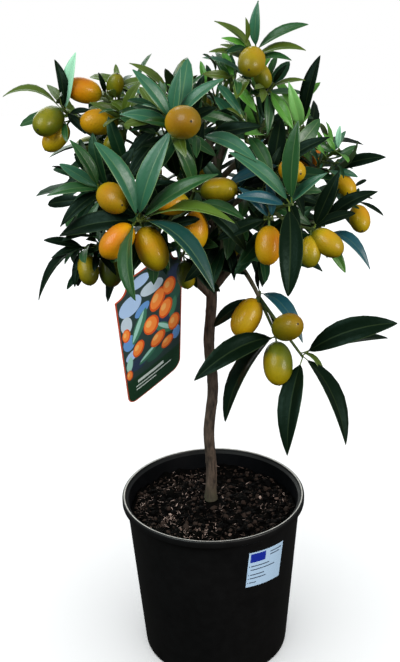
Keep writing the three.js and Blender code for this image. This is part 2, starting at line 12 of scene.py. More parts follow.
import bpy
import numpy as np
from mathutils import Matrix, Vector
from mathutils.bvhtree import BVHTree


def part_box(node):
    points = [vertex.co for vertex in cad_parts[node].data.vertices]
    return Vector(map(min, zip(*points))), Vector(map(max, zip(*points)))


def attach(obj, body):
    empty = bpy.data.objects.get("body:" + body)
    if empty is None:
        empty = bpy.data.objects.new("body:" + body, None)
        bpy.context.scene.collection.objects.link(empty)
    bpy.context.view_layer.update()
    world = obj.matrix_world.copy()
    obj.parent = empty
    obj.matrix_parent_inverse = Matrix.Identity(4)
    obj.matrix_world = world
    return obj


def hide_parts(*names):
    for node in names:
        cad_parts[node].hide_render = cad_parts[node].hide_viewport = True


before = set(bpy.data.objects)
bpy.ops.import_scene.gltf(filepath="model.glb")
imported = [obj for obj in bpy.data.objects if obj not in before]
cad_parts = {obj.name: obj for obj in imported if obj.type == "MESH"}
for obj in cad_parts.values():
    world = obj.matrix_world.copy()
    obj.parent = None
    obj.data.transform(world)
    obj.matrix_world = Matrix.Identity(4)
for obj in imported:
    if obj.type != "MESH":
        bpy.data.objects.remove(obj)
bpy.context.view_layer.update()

# %% [markdown]
# ## Shapes as arrays
#
# Every new surface here is a grid of points worked out in one go: rings round a limb, rings round a fruit, or
# rows across a leaf. A shape is kept as a small dictionary of arrays until it is done, so that hundreds of
# leaves can be joined into one mesh without a loop over their points. The plant's own sizes are in
# millimetres, as a grower would give them, and become metres when the mesh is made.

# %% Helpers for shapes
MM = 0.001
UP = np.array([0.0, 0.0, 1.0])


def unit(v):
    """Each vector divided by its length."""
    return v / np.linalg.norm(v, axis=-1, keepdims=True)


def shape(points, faces, slots=0, **marks):
    """Points (N, 3) in mm, faces (F, 4) with -1 last in a triangle, a material number for each face, and
    marks: named numbers for each point that a material can read."""
    points = np.asarray(points, float).reshape(-1, 3)
    faces = np.asarray(faces, int).reshape(-1, 4)
    marks = {name: np.broadcast_to(value, len(points)) for name, value in marks.items()}
    return {"points": points, "faces": faces, "slots": np.broadcast_to(slots, len(faces)), "marks": marks}


def face_lists(faces):
    """Faces as lists of corner numbers, without a triangle's -1."""
    return [[k for k in face if k >= 0] for face in faces.tolist()]


def joined(shapes):
    """Several shapes as one: each one's faces count on from the points before it."""
    starts = np.cumsum([0] + [len(s["points"]) for s in shapes[:-1]])
    faces = [np.where(s["faces"] >= 0, s["faces"] + start, -1) for s, start in zip(shapes, starts)]
    marks = {name: np.concatenate([s["marks"][name] for s in shapes]) for name in shapes[0]["marks"]}
    return {"points": np.concatenate([s["points"] for s in shapes]), "faces": np.concatenate(faces),
            "slots": np.concatenate([s["slots"] for s in shapes]), "marks": marks}


# %% [markdown]
# ## Tubes along a line
#
# Stems, twigs, straps and fruit are all tubes: rings of points carried along a line, closed by a fan of
# triangles at each end. A curve object with a round bevel would be quicker to place, but its wall couldn't be
# pushed in and out point by point, which bark needs. A line is a function from shares of its length to
# points.

# %% Tubes and lines
SIDEWAYS = np.array([0.31, 0.95, 0.08])   # sets how a limb's rings are turned
STRIDE = 1e-3                             # half the share of a line that its direction is measured over


def tube_faces(rings, sides):
    """Faces of a closed tube: a wall between rings that run anticlockwise about the way along, and a fan
    round a middle point at each end. The two middle points come after the rings."""
    i, j = np.meshgrid(np.arange(rings - 1), np.arange(sides), indexing="ij")
    here, beside = i * sides + j, i * sides + (j + 1) % sides
    wall = np.stack([here, beside, beside + sides, here + sides], -1).reshape(-1, 4)
    j = np.arange(sides)
    last = (rings - 1) * sides
    none = np.full(sides, -1)
    foot = np.stack([np.full(sides, rings * sides), (j + 1) % sides, j, none], -1)
    head = np.stack([np.full(sides, rings * sides + 1), last + j, last + (j + 1) % sides, none], -1)
    return np.concatenate([wall, foot, head])


def tube(rings, ends=None, slots=0, **marks):
    """A closed tube through rings (R, S, 3). Its ends are the first and last rings' middles unless given."""
    first, last = ends if ends is not None else (rings[0].mean(0), rings[-1].mean(0))
    points = np.concatenate([rings.reshape(-1, 3), [first, last]])
    return shape(points, tube_faces(*rings.shape[:2]), slots, **marks)


def bezier(a, b, c):
    """A curve from a to c that leaves towards b: (1-t)^2 a + 2t(1-t) b + t^2 c."""
    a, b, c = (np.asarray(p, float) for p in (a, b, c))
    return lambda t: np.outer((1 - t) ** 2, a) + np.outer(2 * t * (1 - t), b) + np.outer(t * t, c)


def at(line, t):
    """One point of a line."""
    return line(np.array([float(t)]))[0]


def direction(line, t):
    """The way along a line at t: the chord between two places close on both sides."""
    return unit(line(np.clip(t + STRIDE, 0, 1)) - line(np.clip(t - STRIDE, 0, 1)))


def limb_rings(line, radius, sides, steps, relief=0.0):
    """Rings along a line: line(t) + radius(t) (1 + relief) (side cos a + other sin a)."""
    t = np.linspace(0, 1, steps + 1)
    along = direction(line, t)
    side = unit(np.cross(SIDEWAYS, along))
    other = np.cross(along, side)
    a = np.linspace(0, 2 * math.pi, sides, endpoint=False)
    reach = (radius(t)[:, None] * (1 + relief) * np.ones(sides))[..., None]
    outward = side[:, None] * np.cos(a)[None, :, None] + other[:, None] * np.sin(a)[None, :, None]
    return line(t)[:, None] + reach * outward


# %% [markdown]
# ## Random heights
#
# Bark, compost and a scuffed edge all have bumps that are random but smooth. A separate random number added
# at each point would give sandpaper. A lattice of random numbers, blended between its corners, gives hills
# whose size is chosen, and it can close on itself round a stem.

# %% Ripples
LATTICE = 512                             # cells along the lattice before it repeats


def ripples(u, v, around, seed):
    """Smooth random heights from -1 to 1: a lattice of random numbers blended by f f (3 - 2f) both ways. u is
    in cells and closes on itself after `around` cells."""
    table = np.random.default_rng(seed).uniform(-1, 1, (around, LATTICE))
    iu, iv = np.floor(u).astype(int), np.floor(v).astype(int)
    fu, fv = u - iu, v - iv
    su, sv = fu * fu * (3 - 2 * fu), fv * fv * (3 - 2 * fv)
    near = lambda du, dv: table[(iu + du) % around, (iv + dv) % LATTICE]
    low = near(0, 0) * (1 - su) + near(1, 0) * su
    high = near(0, 1) * (1 - su) + near(1, 1) * su
    return low * (1 - sv) + high * sv


# %% [markdown]
# ## From arrays to a piece
#
# A finished shape becomes one mesh object at the origin. Its faces are shaded smooth, except across edges
# that bend more than a chosen angle, and each says which of the piece's finishes it has. The piece is then
# tied to the plant's body, and the solids it stands for are hidden.

# %% Make a piece
def make_piece(name, form, materials, nodes=(), crease=40):
    """A mesh object of the shape at the origin, smooth but for edges sharper than `crease` degrees. It rides
    on the plant's one body and stands for the CAD nodes given."""
    mesh = bpy.data.meshes.new(name)
    mesh.from_pydata((form["points"] * MM).tolist(), [], face_lists(form["faces"]))
    for material in materials:
        mesh.materials.append(material)
    mesh.polygons.foreach_set("material_index", np.ascontiguousarray(form["slots"], np.int32))
    for mark, values in form["marks"].items():
        mesh.attributes.new(mark, "FLOAT", "POINT").data.foreach_set("value", np.array(values, np.float32))
    mesh.shade_smooth()
    mesh.set_sharp_from_angle(angle=math.radians(crease))
    mesh.update()
    piece = bpy.data.objects.new(name, mesh)
    bpy.context.scene.collection.objects.link(piece)
    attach(piece, "root")
    if nodes:
        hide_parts(*nodes)
    triangles = int(((form["faces"] >= 0).sum(1) - 2).sum())
    print(f"{name}: {len(form['points'])} points, {triangles} triangles")
    return piece


# %% [markdown]
# ## Finishes
#
# A living plant is never one flat colour, and neither is old plastic. Most finishes here share two effects: a
# soft mottling between two colours, and a fine grain that breaks the shine. Each is one node group with its
# own inputs, placed in each material with its own values. Leaves get a plain colour each, dealt out spray by
# spray, because a pattern across hundreds of tiny leaves would be lost.

# %% Helpers for materials
def rgb(r, g, b):
    """A colour given in the usual 0 to 255 scale, as the linear values that a shader mixes."""
    c = np.array([r, g, b]) / 255
    return tuple(np.where(c <= 0.04045, c / 12.92, ((c + 0.055) / 1.055) ** 2.4).tolist())


def put(tree, kind, sockets=None, **settings):
    """A node with its settings. Each socket gets a value, or a link where another node's output is given."""
    made = tree.nodes.new(kind)
    for name, value in settings.items():
        setattr(made, name, value)
    for name, value in (sockets or {}).items():
        if isinstance(value, bpy.types.NodeSocket):
            tree.links.new(value, made.inputs[name])
        else:
            made.inputs[name].default_value = value
    return made


def worked_out(tree, operation, a, b):
    """The sum, difference or product of two numbers."""
    return put(tree, "ShaderNodeMath", {0: a, 1: b}, operation=operation).outputs[0]


def mark(tree, name):
    """A mark on the piece's points, as a number."""
    return put(tree, "ShaderNodeAttribute", attribute_name=name).outputs["Fac"]


def mix_colours(tree, factor, a, b):
    """Colour a where the factor is 0 and b where it is 1."""
    made = put(tree, "ShaderNodeMix", {0: factor}, data_type="RGBA")
    for socket, value in ((6, a), (7, b)):
        if isinstance(value, bpy.types.NodeSocket):
            tree.links.new(value, made.inputs[socket])
        else:
            made.inputs[socket].default_value = (*value, 1)
    return made.outputs[2]


def new_group(name, inputs, outputs):
    """An empty shader group with named inputs (kind, value) and outputs, and its two end nodes."""
    group = bpy.data.node_groups.new(name, "ShaderNodeTree")
    for socket, (kind, value) in inputs.items():
        group.interface.new_socket(socket, in_out="INPUT", socket_type=kind).default_value = value
    for socket, kind in outputs.items():
        group.interface.new_socket(socket, in_out="OUTPUT", socket_type=kind)
    return group, put(group, "NodeGroupInput"), put(group, "NodeGroupOutput")


# %% The two shared effects
def make_mottle():
    """Mottling: noise on the piece's own place, stretched, then widened about 0.5 to mix two colours."""
    group, given, result = new_group(
        "mottle",
        {"Scale": ("NodeSocketFloat", 60.0), "Stretch": ("NodeSocketVector", (1, 1, 1)),
         "Contrast": ("NodeSocketFloat", 0.2), "Colour A": ("NodeSocketColor", (0, 0, 0, 1)),
         "Colour B": ("NodeSocketColor", (1, 1, 1, 1))},
        {"Color": "NodeSocketColor", "Height": "NodeSocketFloat"})
    place = put(group, "ShaderNodeTexCoord").outputs["Object"]
    spread = put(group, "ShaderNodeMapping", {"Vector": place, "Scale": given.outputs["Stretch"]})
    noise = put(group, "ShaderNodeTexNoise", {"Vector": spread.outputs[0], "Scale": given.outputs["Scale"],
                                              "Detail": 5.0, "Roughness": 0.6})
    low = worked_out(group, "SUBTRACT", 0.5, given.outputs["Contrast"])
    high = worked_out(group, "ADD", 0.5, given.outputs["Contrast"])
    share = put(group, "ShaderNodeMapRange", {"Value": noise.outputs[0], "From Min": low, "From Max": high})
    colour = mix_colours(group, share.outputs[0], given.outputs["Colour A"], given.outputs["Colour B"])
    group.links.new(colour, result.inputs["Color"])
    group.links.new(share.outputs[0], result.inputs["Height"])
    return group


def make_grain():
    """Grain: fine noise as a height, and the same noise scaled between two roughness values."""
    group, given, result = new_group(
        "grain",
        {"Scale": ("NodeSocketFloat", 900.0), "Smooth": ("NodeSocketFloat", 0.35),
         "Rough": ("NodeSocketFloat", 0.5)},
        {"Roughness": "NodeSocketFloat", "Height": "NodeSocketFloat"})
    place = put(group, "ShaderNodeTexCoord").outputs["Object"]
    noise = put(group, "ShaderNodeTexNoise", {"Vector": place, "Scale": given.outputs["Scale"],
                                              "Detail": 3.0})
    gloss = put(group, "ShaderNodeMapRange", {"Value": noise.outputs[0], "From Min": 0.3, "From Max": 0.7,
                                              "To Min": given.outputs["Smooth"],
                                              "To Max": given.outputs["Rough"]})
    group.links.new(gloss.outputs[0], result.inputs["Roughness"])
    group.links.new(noise.outputs[0], result.inputs["Height"])
    return group


MOTTLE, GRAIN = make_mottle(), make_grain()
print("shader groups", MOTTLE.name, GRAIN.name)


# %% Two kinds of finish
def new_material(name, **sockets):
    """A material with its Principled shader; sockets that are the same all over are set on the shader."""
    material = bpy.data.materials.new(name)
    material.use_nodes = True
    tree = material.node_tree
    shader = tree.nodes["Principled BSDF"]
    for socket, value in sockets.items():
        shader.inputs[socket.replace("_", " ")].default_value = value
    return material, tree, shader


def place_group(tree, group, **values):
    """A group placed in a material's tree with its own values."""
    made = put(tree, "ShaderNodeGroup", node_tree=group)
    for name, value in values.items():
        made.inputs[name.replace("_", " ")].default_value = value
    return made


def bump(tree, shader, height, distance):
    """Sends a height in 0 to 1 to the shader's normal, as deep as `distance` in metres."""
    made = put(tree, "ShaderNodeBump", {"Height": height, "Distance": distance})
    tree.links.new(made.outputs[0], shader.inputs["Normal"])


def mottled(name, a, b, scale, contrast=0.2, smooth=0.5, rough=0.7, depth=0.0003, **sockets):
    """A finish that wavers between colours a and b, with a broken shine and a relief from the mottling. Its
    grain is six times as fine as the mottling."""
    material, tree, shader = new_material(name, **sockets)
    mottle = place_group(tree, MOTTLE, Scale=scale, Contrast=contrast, Colour_A=(*a, 1), Colour_B=(*b, 1))
    grain = place_group(tree, GRAIN, Scale=scale * 6, Smooth=smooth, Rough=rough)
    tree.links.new(mottle.outputs["Color"], shader.inputs["Base Color"])
    tree.links.new(grain.outputs["Roughness"], shader.inputs["Roughness"])
    bump(tree, shader, mottle.outputs["Height"], depth)
    return material


def plain(name, colour, smooth=0.35, rough=0.5, grain_scale=500.0, depth=0.00005, **sockets):
    """A finish of one plain colour, with a broken shine and a fine grain."""
    material, tree, shader = new_material(name, **sockets)
    shader.inputs["Base Color"].default_value = (*colour, 1)
    grain = place_group(tree, GRAIN, Scale=grain_scale, Smooth=smooth, Rough=rough)
    tree.links.new(grain.outputs["Roughness"], shader.inputs["Roughness"])
    bump(tree, shader, grain.outputs["Height"], depth)
    return material


# %% [markdown]
# ## The pot
#
# The pot is injection moulded: a thin tapered wall, a rolled lip that stiffens the mouth, and drain slots at
# the foot. A turned shape is a profile swept round an axis, so a lathe of one profile makes all of it but the
# slots. Those are pressed in afterwards by the same grid: the radius is reduced where angle and height both
# lie inside a slot. The crest of the lip is pale with wear, brightened into a painted highlight, and the
# inner wall is darkened with painted shade, so each of them has its own finish.

# %% The cut through the pot's wall
POT = {"rim": 110.0, "height": 207.0, "base": 89.0, "wall_top": 104.5, "wall": 2.4, "floor": 3.0,
       "lip": 9.0, "round": 2.2, "lip_edge": 1.2, "fillet": 1.5, "foot_round": 3.0, "raised": 1.2,
       "sides": 144}
CREST = (4, 6)                            # lip rows with pale wear and painted highlight


def outside(z):
    """Outside radius of the pot's wall: it widens evenly from the base to just under the lip."""
    return POT["base"] + (POT["wall_top"] - POT["base"]) * z / (POT["height"] - POT["lip"])


def arc(centre, radius, start, end, steps):
    """Points (r, z) on part of a circle, from one angle to another in degrees."""
    a = np.radians(np.linspace(start, end, steps))
    return np.stack([centre[0] + radius * np.cos(a), centre[1] + radius * np.sin(a)], -1)


def pot_profile():
    """The cut through the wall, from the recess underneath, up outside, over the lip and down inside. Also
    the rows where the crest's pale wear and painted highlight start and end, and where the inner wall,
    darkened by painted shade, starts."""
    under, top, soft = POT["height"] - POT["lip"], POT["height"], POT["round"]
    edge, fillet, foot = POT["lip_edge"], POT["fillet"], POT["foot_round"]
    inner = outside(under) - POT["wall"]
    rows = [[(POT["base"] - 16, POT["raised"]), (POT["base"] - 13, 0.0), (POT["base"] - 8, 0.0)],
            arc((POT["base"] - foot, foot), foot, -90, -5, 5),
            [(outside(z), z) for z in np.linspace(8, under - fillet, 14)],
            arc((outside(under) + fillet, under - fillet), fillet, 180, 90, 4),
            arc((POT["rim"] - edge, under + edge), edge, -90, 0, 4)]
    before = sum(len(row) for row in rows)
    lip_top = arc((POT["rim"] - soft, top - soft), soft, 0, 180, 10)
    rows += [lip_top, [(inner + 0.6, top - soft - 2.5), (inner, under - 1.0)],
             [(outside(z) - POT["wall"], z) for z in np.linspace(under - 8, POT["floor"] + 1, 8)],
             [(POT["base"] - 12, POT["floor"])]]
    profile = np.concatenate([np.asarray(row, float) for row in rows])
    return profile, before + CREST[0], before + CREST[1], before + len(lip_top)


# %% Make the pot
SLOT = {"count": 8, "half_angle": 5.0, "low": 1.5, "high": 9.0, "depth": 1.6}
WEAR = {"cells": 24, "depth": 0.12, "seed": 3}


def make_pot():
    """The profile at every angle a: (r cos a, r sin a, z). Slots and wear change r, never z."""
    profile, wear_and_highlight_from, wear_and_highlight_to, inner_from = pot_profile()
    sides = POT["sides"]
    a = np.linspace(0, 2 * math.pi, sides, endpoint=False)
    r, z = profile[:, :1] * np.ones(sides), profile[:, 1:] * np.ones(sides)
    cycle = np.abs((np.degrees(a) * SLOT["count"] / 360 + 0.5) % 1 - 0.5) * 360 / SLOT["count"]
    outer = np.arange(len(profile))[:, None] < wear_and_highlight_from
    in_slot = outer & (cycle < SLOT["half_angle"]) & (z > SLOT["low"]) & (z < SLOT["high"])
    r = r - SLOT["depth"] * in_slot
    wear = ripples(np.arange(sides) * WEAR["cells"] / sides, np.zeros(sides), WEAR["cells"], WEAR["seed"])
    r[wear_and_highlight_from:wear_and_highlight_to] += WEAR["depth"] * wear
    rings = np.stack([r * np.cos(a), r * np.sin(a), z], -1)
    form = tube(rings, ends=((0, 0, POT["raised"]), (0, 0, POT["floor"])))
    slots = np.zeros(len(form["faces"]), int)
    slots[wear_and_highlight_from * sides:wear_and_highlight_to * sides] = 1
    slots[inner_from * sides:] = 2
    form["slots"] = slots
    black = mottled("black plastic", rgb(11, 11, 12), rgb(19, 18, 19), 14, contrast=0.3,
                    smooth=0.36, rough=0.5, depth=0.00012, Specular_IOR_Level=0.35)
    # The crest: pale worn plastic, brightened further into a painted highlight.
    crest = mottled("lip wear and highlight", rgb(146, 142, 138), rgb(214, 208, 202), 160, contrast=0.25,
                    smooth=0.3, rough=0.5, depth=0.00005)
    # The inner wall: colour darkened to paint the shade inside the pot.
    inside_wall = mottled("inner wall painted shade", rgb(3, 4, 6), rgb(9, 10, 14), 20, contrast=0.3,
                          smooth=0.5, rough=0.7, depth=0.00012, Specular_IOR_Level=0.15)
    make_piece("pot_shell", form, [black, crest, inside_wall], ["pot"], crease=35)


make_pot()

# %% [markdown]
# ## The compost
#
# The pot is filled with dark peat mixed with bark chips and fibres. From a step away it reads as a black,
# crumbly surface with paler crumbs and slivers that catch the light. The surface is a disc whose height is
# the sum of random ripples at four sizes, calmer close to the stem.

# %% Make the compost
SOIL = {"level": 190.0, "flat": 26.0, "drop": 5.0, "gap": 0.5, "rows": 74, "sides": 220}
LUMPS = [(30, 3.0), (12, 3.2), (6, 2.0), (2.8, 1.0)]   # width and height of each size of ripple
SHIFT = 150.0                             # moves the lattice of ripples clear of the pot


def soil_height(x, y):
    """Height of the compost: level round the stem and falling to the wall, plus the ripples."""
    r = np.hypot(x, y)
    edge = outside(SOIL["level"]) - POT["wall"]
    fall = SOIL["drop"] * np.clip((r - SOIL["flat"]) / (edge - SOIL["flat"]), 0, 1)
    rough = sum(size * ripples((x + SHIFT) / cell, (y + SHIFT) / cell, 256, seed)
                for seed, (cell, size) in enumerate(LUMPS))
    calm = np.clip((r - 8) / 10, 0.25, 1)
    return SOIL["level"] - fall + rough * calm


def make_soil():
    """Rings (r cos a, r sin a): from the floor up the wall, then inwards over the surface to the middle."""
    a = np.linspace(0, 2 * math.pi, SOIL["sides"], endpoint=False)
    low = POT["floor"] + SOIL["gap"]
    edge = outside(SOIL["level"] - SOIL["drop"]) - POT["wall"] - SOIL["gap"]
    foot = outside(low) - POT["wall"] - SOIL["gap"]
    r = np.concatenate([[foot, edge], edge * np.linspace(0.995, 0.012, SOIL["rows"])])
    x, y = r[:, None] * np.cos(a), r[:, None] * np.sin(a)
    z = soil_height(x, y)
    z[0] = low
    z[1] = z[2] - 2.0
    rings = np.stack([x, y, z], -1)
    form = tube(rings, ends=((0, 0, low), (0, 0, SOIL["level"])))
    peat = mottled("peat", rgb(0, 0, 0), rgb(10, 8, 6), 190, contrast=0.16,
                   smooth=0.65, rough=0.95, depth=0.0015, Specular_IOR_Level=0.04)
    make_piece("compost", form, [peat], ["soil"], crease=180)


make_soil()

# %% [markdown]
# ## Chips in the compost
#
# Thousands of crumbs of peat and slivers of bark lie on the surface, and pale fibres gather in patches,
# crowded to the left of the stem, where they also paint a highlight. A particle system would scatter them,
# but its copies are lost on the way out of Blender. So each chip is one shape of twenty faces, stretched and
# turned by array sums, and all of them are one mesh.

# %% Shapes of the chips
CHIPS = {"crumbs": 1500, "slivers": 2000, "seed": 11}
CRUMB = {"least": 0.7, "range": 3.6, "lean": 0.8, "pale": 0.05, "straw": 0.01}
SLIVER = {"long": (1.2, 7.5), "narrow": (0.03, 0.09), "least": 0.2, "flat": 0.4, "lean": 0.25,
          "pale": 0.7, "straw": 0.42}
PATCH = {"size": 24.0, "from": 12.0, "fewer": 0.25, "least": 0.06, "bark": 0.35, "seed": 21}


def ball():
    """Twenty-faced ball of radius 1: twelve corners (0, 1, golden) in every order, joined by nearness."""
    g = (1 + math.sqrt(5)) / 2
    ends = [(s, t * g) for s in (-1, 1) for t in (-1, 1)]
    corners = unit(np.array([(0, a, b) for a, b in ends] + [(a, b, 0) for a, b in ends]
                            + [(b, 0, a) for a, b in ends], float))
    near = np.linalg.norm(corners[:, None] - corners[None], axis=-1) < 1.2
    faces = np.array([(i, j, k, -1) for i in range(12) for j in range(i) for k in range(j)
                      if near[i, j] and near[j, k] and near[i, k]])
    p = corners[faces[:, :3]]
    inward = (np.cross(p[:, 1] - p[:, 0], p[:, 2] - p[:, 0]) * p.mean(1)).sum(1) < 0
    faces[inward] = faces[inward][:, [0, 2, 1, 3]]
    return corners, faces


def random_turns(rng, count):
    """Rotation matrices from random unit quaternions."""
    w, x, y, z = unit(rng.normal(size=(count, 4))).T
    rows = [1 - 2 * (y * y + z * z), 2 * (x * y - w * z), 2 * (x * z + w * y),
            2 * (x * y + w * z), 1 - 2 * (x * x + z * z), 2 * (y * z - w * x),
            2 * (x * z - w * y), 2 * (y * z + w * x), 1 - 2 * (x * x + y * y)]
    return np.stack(rows, -1).reshape(-1, 3, 3)


def scatter(rng, count, sizes, lean):
    """Chips of the given half sizes, turned at random, lying on the compost. A small lean keeps them flat."""
    corners, faces = ball()
    r = (outside(SOIL["level"]) - POT["wall"] - 5) * np.sqrt(rng.uniform(0.012, 1, count))
    a = rng.uniform(0, 2 * math.pi, count)
    x, y = r * np.cos(a), r * np.sin(a)
    turns = random_turns(rng, count)
    turns[:, 2] *= lean
    knobs = corners[None] * rng.uniform(0.7, 1.2, (count, len(corners), 1)) * sizes[:, None]
    lying = np.einsum("nij,nkj->nki", turns, knobs)
    lying += np.stack([x, y, soil_height(x, y) + 0.3 * sizes.min(1)], -1)[:, None]
    far = np.hypot(lying[..., 0], lying[..., 1]) / (outside(SOIL["level"] - 8) - POT["wall"] - 0.6)
    lying[..., :2] /= np.maximum(far, 1)[..., None]
    offsets = np.arange(count)[:, None, None] * len(corners)
    return lying, np.where(faces[None] >= 0, faces[None] + offsets, -1)


# %% Make the chips
TONES = {"wet peat": rgb(3, 2, 2), "bark chip": rgb(52, 41, 36), "pale chip": rgb(108, 88, 80),
         "straw fibre": rgb(178, 152, 142)}


def tones_by_patch(rng, points, kind):
    """A tone for each of a chip's twenty faces, by its place in TONES. Pale and straw chips, at most the
    shares of their kind, gather in patches left of the stem and are rarer right of it, so that they also
    paint a highlight on the compost's left."""
    x, y = points[..., 0].mean(1), points[..., 1].mean(1)
    u, v = (x + SHIFT) / PATCH["size"], (y + SHIFT) / PATCH["size"]
    # Fewer pale chips right of the stem, for a painted highlight on the left.
    right = np.where(x < PATCH["from"], 0, PATCH["fewer"])
    patch = np.clip(0.5 + 0.7 * ripples(u, v, 64, PATCH["seed"]) - right, PATCH["least"], 1)
    draw = rng.uniform(size=len(x))
    pale, straw = kind["pale"] * patch, kind["straw"] * patch
    tone = np.where(draw < straw, 3, np.where(draw < pale, 2, np.where(draw < pale + PATCH["bark"], 1, 0)))
    return np.repeat(tone, 20)


def make_chips():
    """Crumbs are balls of uneven size, most of them small: least + range u^2. Slivers are long and flat."""
    rng = np.random.default_rng(CHIPS["seed"])
    count = CHIPS["crumbs"]
    crumbs = CRUMB["least"] + CRUMB["range"] * rng.uniform(size=(count, 1)) ** 2
    crumb_points, crumb_faces = scatter(rng, count, crumbs * rng.uniform(0.5, 1.2, (count, 3)), CRUMB["lean"])
    count = CHIPS["slivers"]
    long = rng.uniform(*SLIVER["long"], count)
    wide = SLIVER["least"] + long * rng.uniform(*SLIVER["narrow"], count)
    slivers = np.stack([long, wide, np.full(count, SLIVER["flat"])], -1)
    sliver_points, sliver_faces = scatter(rng, count, slivers, SLIVER["lean"])
    form = joined([shape(crumb_points, crumb_faces, tones_by_patch(rng, crumb_points, CRUMB)),
                   shape(sliver_points, sliver_faces, tones_by_patch(rng, sliver_points, SLIVER))])
    finishes = [plain(name, tone, smooth=0.5, rough=0.9, grain_scale=900, depth=0.0002,
                      Specular_IOR_Level=0.05) for name, tone in TONES.items()]
    make_piece("compost_chips", form, finishes, crease=60)


make_chips()

# %% [markdown]
# ## Printed film: the sticker
#
# Sticker and hanging card are thin printed film. A print could be an image, but flat colours laid on as
# paper-thin pads stay crisp at any distance. One helper makes a pad from a rectangle on a grid, for film that
# is bent round the pot, and one makes a pad from any outline. Each takes a function that says where a point
# (across, up, out) of the flat print lies in space. The sticker's design is plain: a block and rules.

# %% Helpers for prints
def slab(place, x, y, out, steps, slot):
    """A thin closed pad over the rectangle x by y, bent by place(across, up, out), from out[0] to out[1]."""
    u, v = np.linspace(*x, steps[0] + 1), np.linspace(*y, steps[1] + 1)
    across, up = (m.ravel() for m in np.meshgrid(u, v, indexing="ij"))
    points = np.concatenate([place(across, up, np.full(len(across), h)) for h in out])
    nu, nv, half = steps[0] + 1, steps[1] + 1, len(across)
    i, j = (m.ravel() for m in np.meshgrid(np.arange(nu - 1), np.arange(nv - 1), indexing="ij"))
    cell = np.stack([i * nv + j, (i + 1) * nv + j, (i + 1) * nv + j + 1, i * nv + j + 1], -1)
    rim = np.concatenate([np.arange(nu) * nv, (nu - 1) * nv + np.arange(1, nv),
                          np.arange(nu - 2, -1, -1) * nv + nv - 1, np.arange(nv - 2, 0, -1)])
    beyond = np.roll(rim, -1)
    wall = np.stack([rim, beyond, beyond + half, rim + half], -1)
    return shape(points, np.concatenate([cell + half, cell[:, ::-1], wall]), slot)


def pad(place, outline, out, slot):
    """A thin closed pad with the given anticlockwise outline (K, 2), from out[0] to out[1]. Rings at a third
    and two thirds of the way to its middle let it follow a curved card."""
    outline = np.asarray(outline, float)
    middle = outline.mean(0)
    rings = []
    for share, height in ((1, out[0]), (1, out[1]), (2 / 3, out[1]), (1 / 3, out[1])):
        ring = middle + share * (outline - middle)
        rings.append(place(ring[:, 0], ring[:, 1], np.full(len(ring), height)))
    ends = [place(middle[:1], middle[1:], np.array([h]))[0] for h in out]
    return tube(np.stack(rings), ends, slot)


def span(middle, half):
    """The stretch that reaches half a size to both sides of its middle."""
    return middle - half, middle + half


def turned(x, y, degrees):
    """Flat points turned about the origin."""
    c, s = math.cos(math.radians(degrees)), math.sin(math.radians(degrees))
    return np.stack([x * c - y * s, x * s + y * c], -1)


def oval(centre, half, turn=0.0, steps=28):
    """Outline of an ellipse with half sizes (a, b)."""
    a = np.linspace(0, 2 * math.pi, steps, endpoint=False)
    return np.add(centre, turned(half[0] * np.cos(a), half[1] * np.sin(a), turn))


def lens(centre, half, turn=0.0, steps=24):
    """Outline of a leaf: an ellipse whose width falls away faster to both ends, b sin a |sin a|^0.5."""
    a = np.linspace(0, 2 * math.pi, steps, endpoint=False)
    return np.add(centre, turned(half[0] * np.cos(a), half[1] * np.sin(a) * np.abs(np.sin(a)) ** 0.5, turn))


# %% Make the sticker
LABEL = {"width": 50.0, "height": 48.0, "turn": 35.0, "middle": 156.0, "tilt": -4.0, "gap": 0.25,
         "film": 0.25, "ink": 0.06}
BLOCK = ((-22.5, -2.5), (10, 22))         # the printed block, from left to right and from low to high
RULES = [(4, 18.5, 18), (4, 14.5, 15), (-21, 4.5, 25), (-21, -0.5, 34), (-21, -7.5, 19), (-21, -12.5, 22),
         (-21, -18.5, 9)]                 # left end, height and length of each printed rule
RULE_HALF = 0.7
DOTS = {"across": (-23.4, -22.2), "heights": (4.5, -7.5, -12.5, -18.5), "half": 0.6}


def on_wall(across, up, out):
    """A flat print bent round the pot's wall: across becomes an angle, and out is added to the radius."""
    tilt = math.radians(LABEL["tilt"])
    x, y = across * math.cos(tilt) - up * math.sin(tilt), across * math.sin(tilt) + up * math.cos(tilt)
    z = LABEL["middle"] + y
    turn = math.radians(LABEL["turn"]) + x / outside(LABEL["middle"])
    r = outside(z) + LABEL["gap"] + out
    return np.stack([r * np.sin(turn), -r * np.cos(turn), z], -1)


def make_sticker():
    """The film, and on it a block, rules and dots: slabs that reach a little out of the film."""
    film = LABEL["film"]
    printed = span(film, LABEL["ink"])
    width, height = span(0, LABEL["width"] / 2), span(0, LABEL["height"] / 2)
    parts = [slab(on_wall, width, height, (0, film), (20, 12), 0),
             slab(on_wall, *BLOCK, printed, (8, 4), 1)]
    for left, up, length in RULES:
        parts.append(slab(on_wall, (left, left + length), span(up, RULE_HALF), printed, (8, 1), 2))
    for up in DOTS["heights"]:
        parts.append(slab(on_wall, DOTS["across"], span(up, DOTS["half"]), printed, (1, 1), 3))
    inks = [plain("pale film", rgb(168, 194, 219), smooth=0.3, rough=0.42),
            plain("blue ink", rgb(18, 38, 142), smooth=0.3, rough=0.42),
            plain("grey ink", rgb(62, 74, 92), smooth=0.35, rough=0.5),
            plain("black ink", rgb(28, 32, 40), smooth=0.35, rough=0.5)]
    return make_piece("sticker", joined(parts), inks, ["pot_label"], crease=50)


sticker = make_sticker()

# %% [markdown]
# ## Where limbs and shoots run
#
# The trunk forks into boughs. Each bough but the leader ends in a stem that carries one mass of foliage, and
# that stem divides into shoots. The solid model grows them by a rule from a few rows of sizes: where a limb
# starts on its parent, where its tip is, and how much it bows. The same rows and the same rule are written
# here, so that the finer twigs, leaves and fruit start on the real limbs.

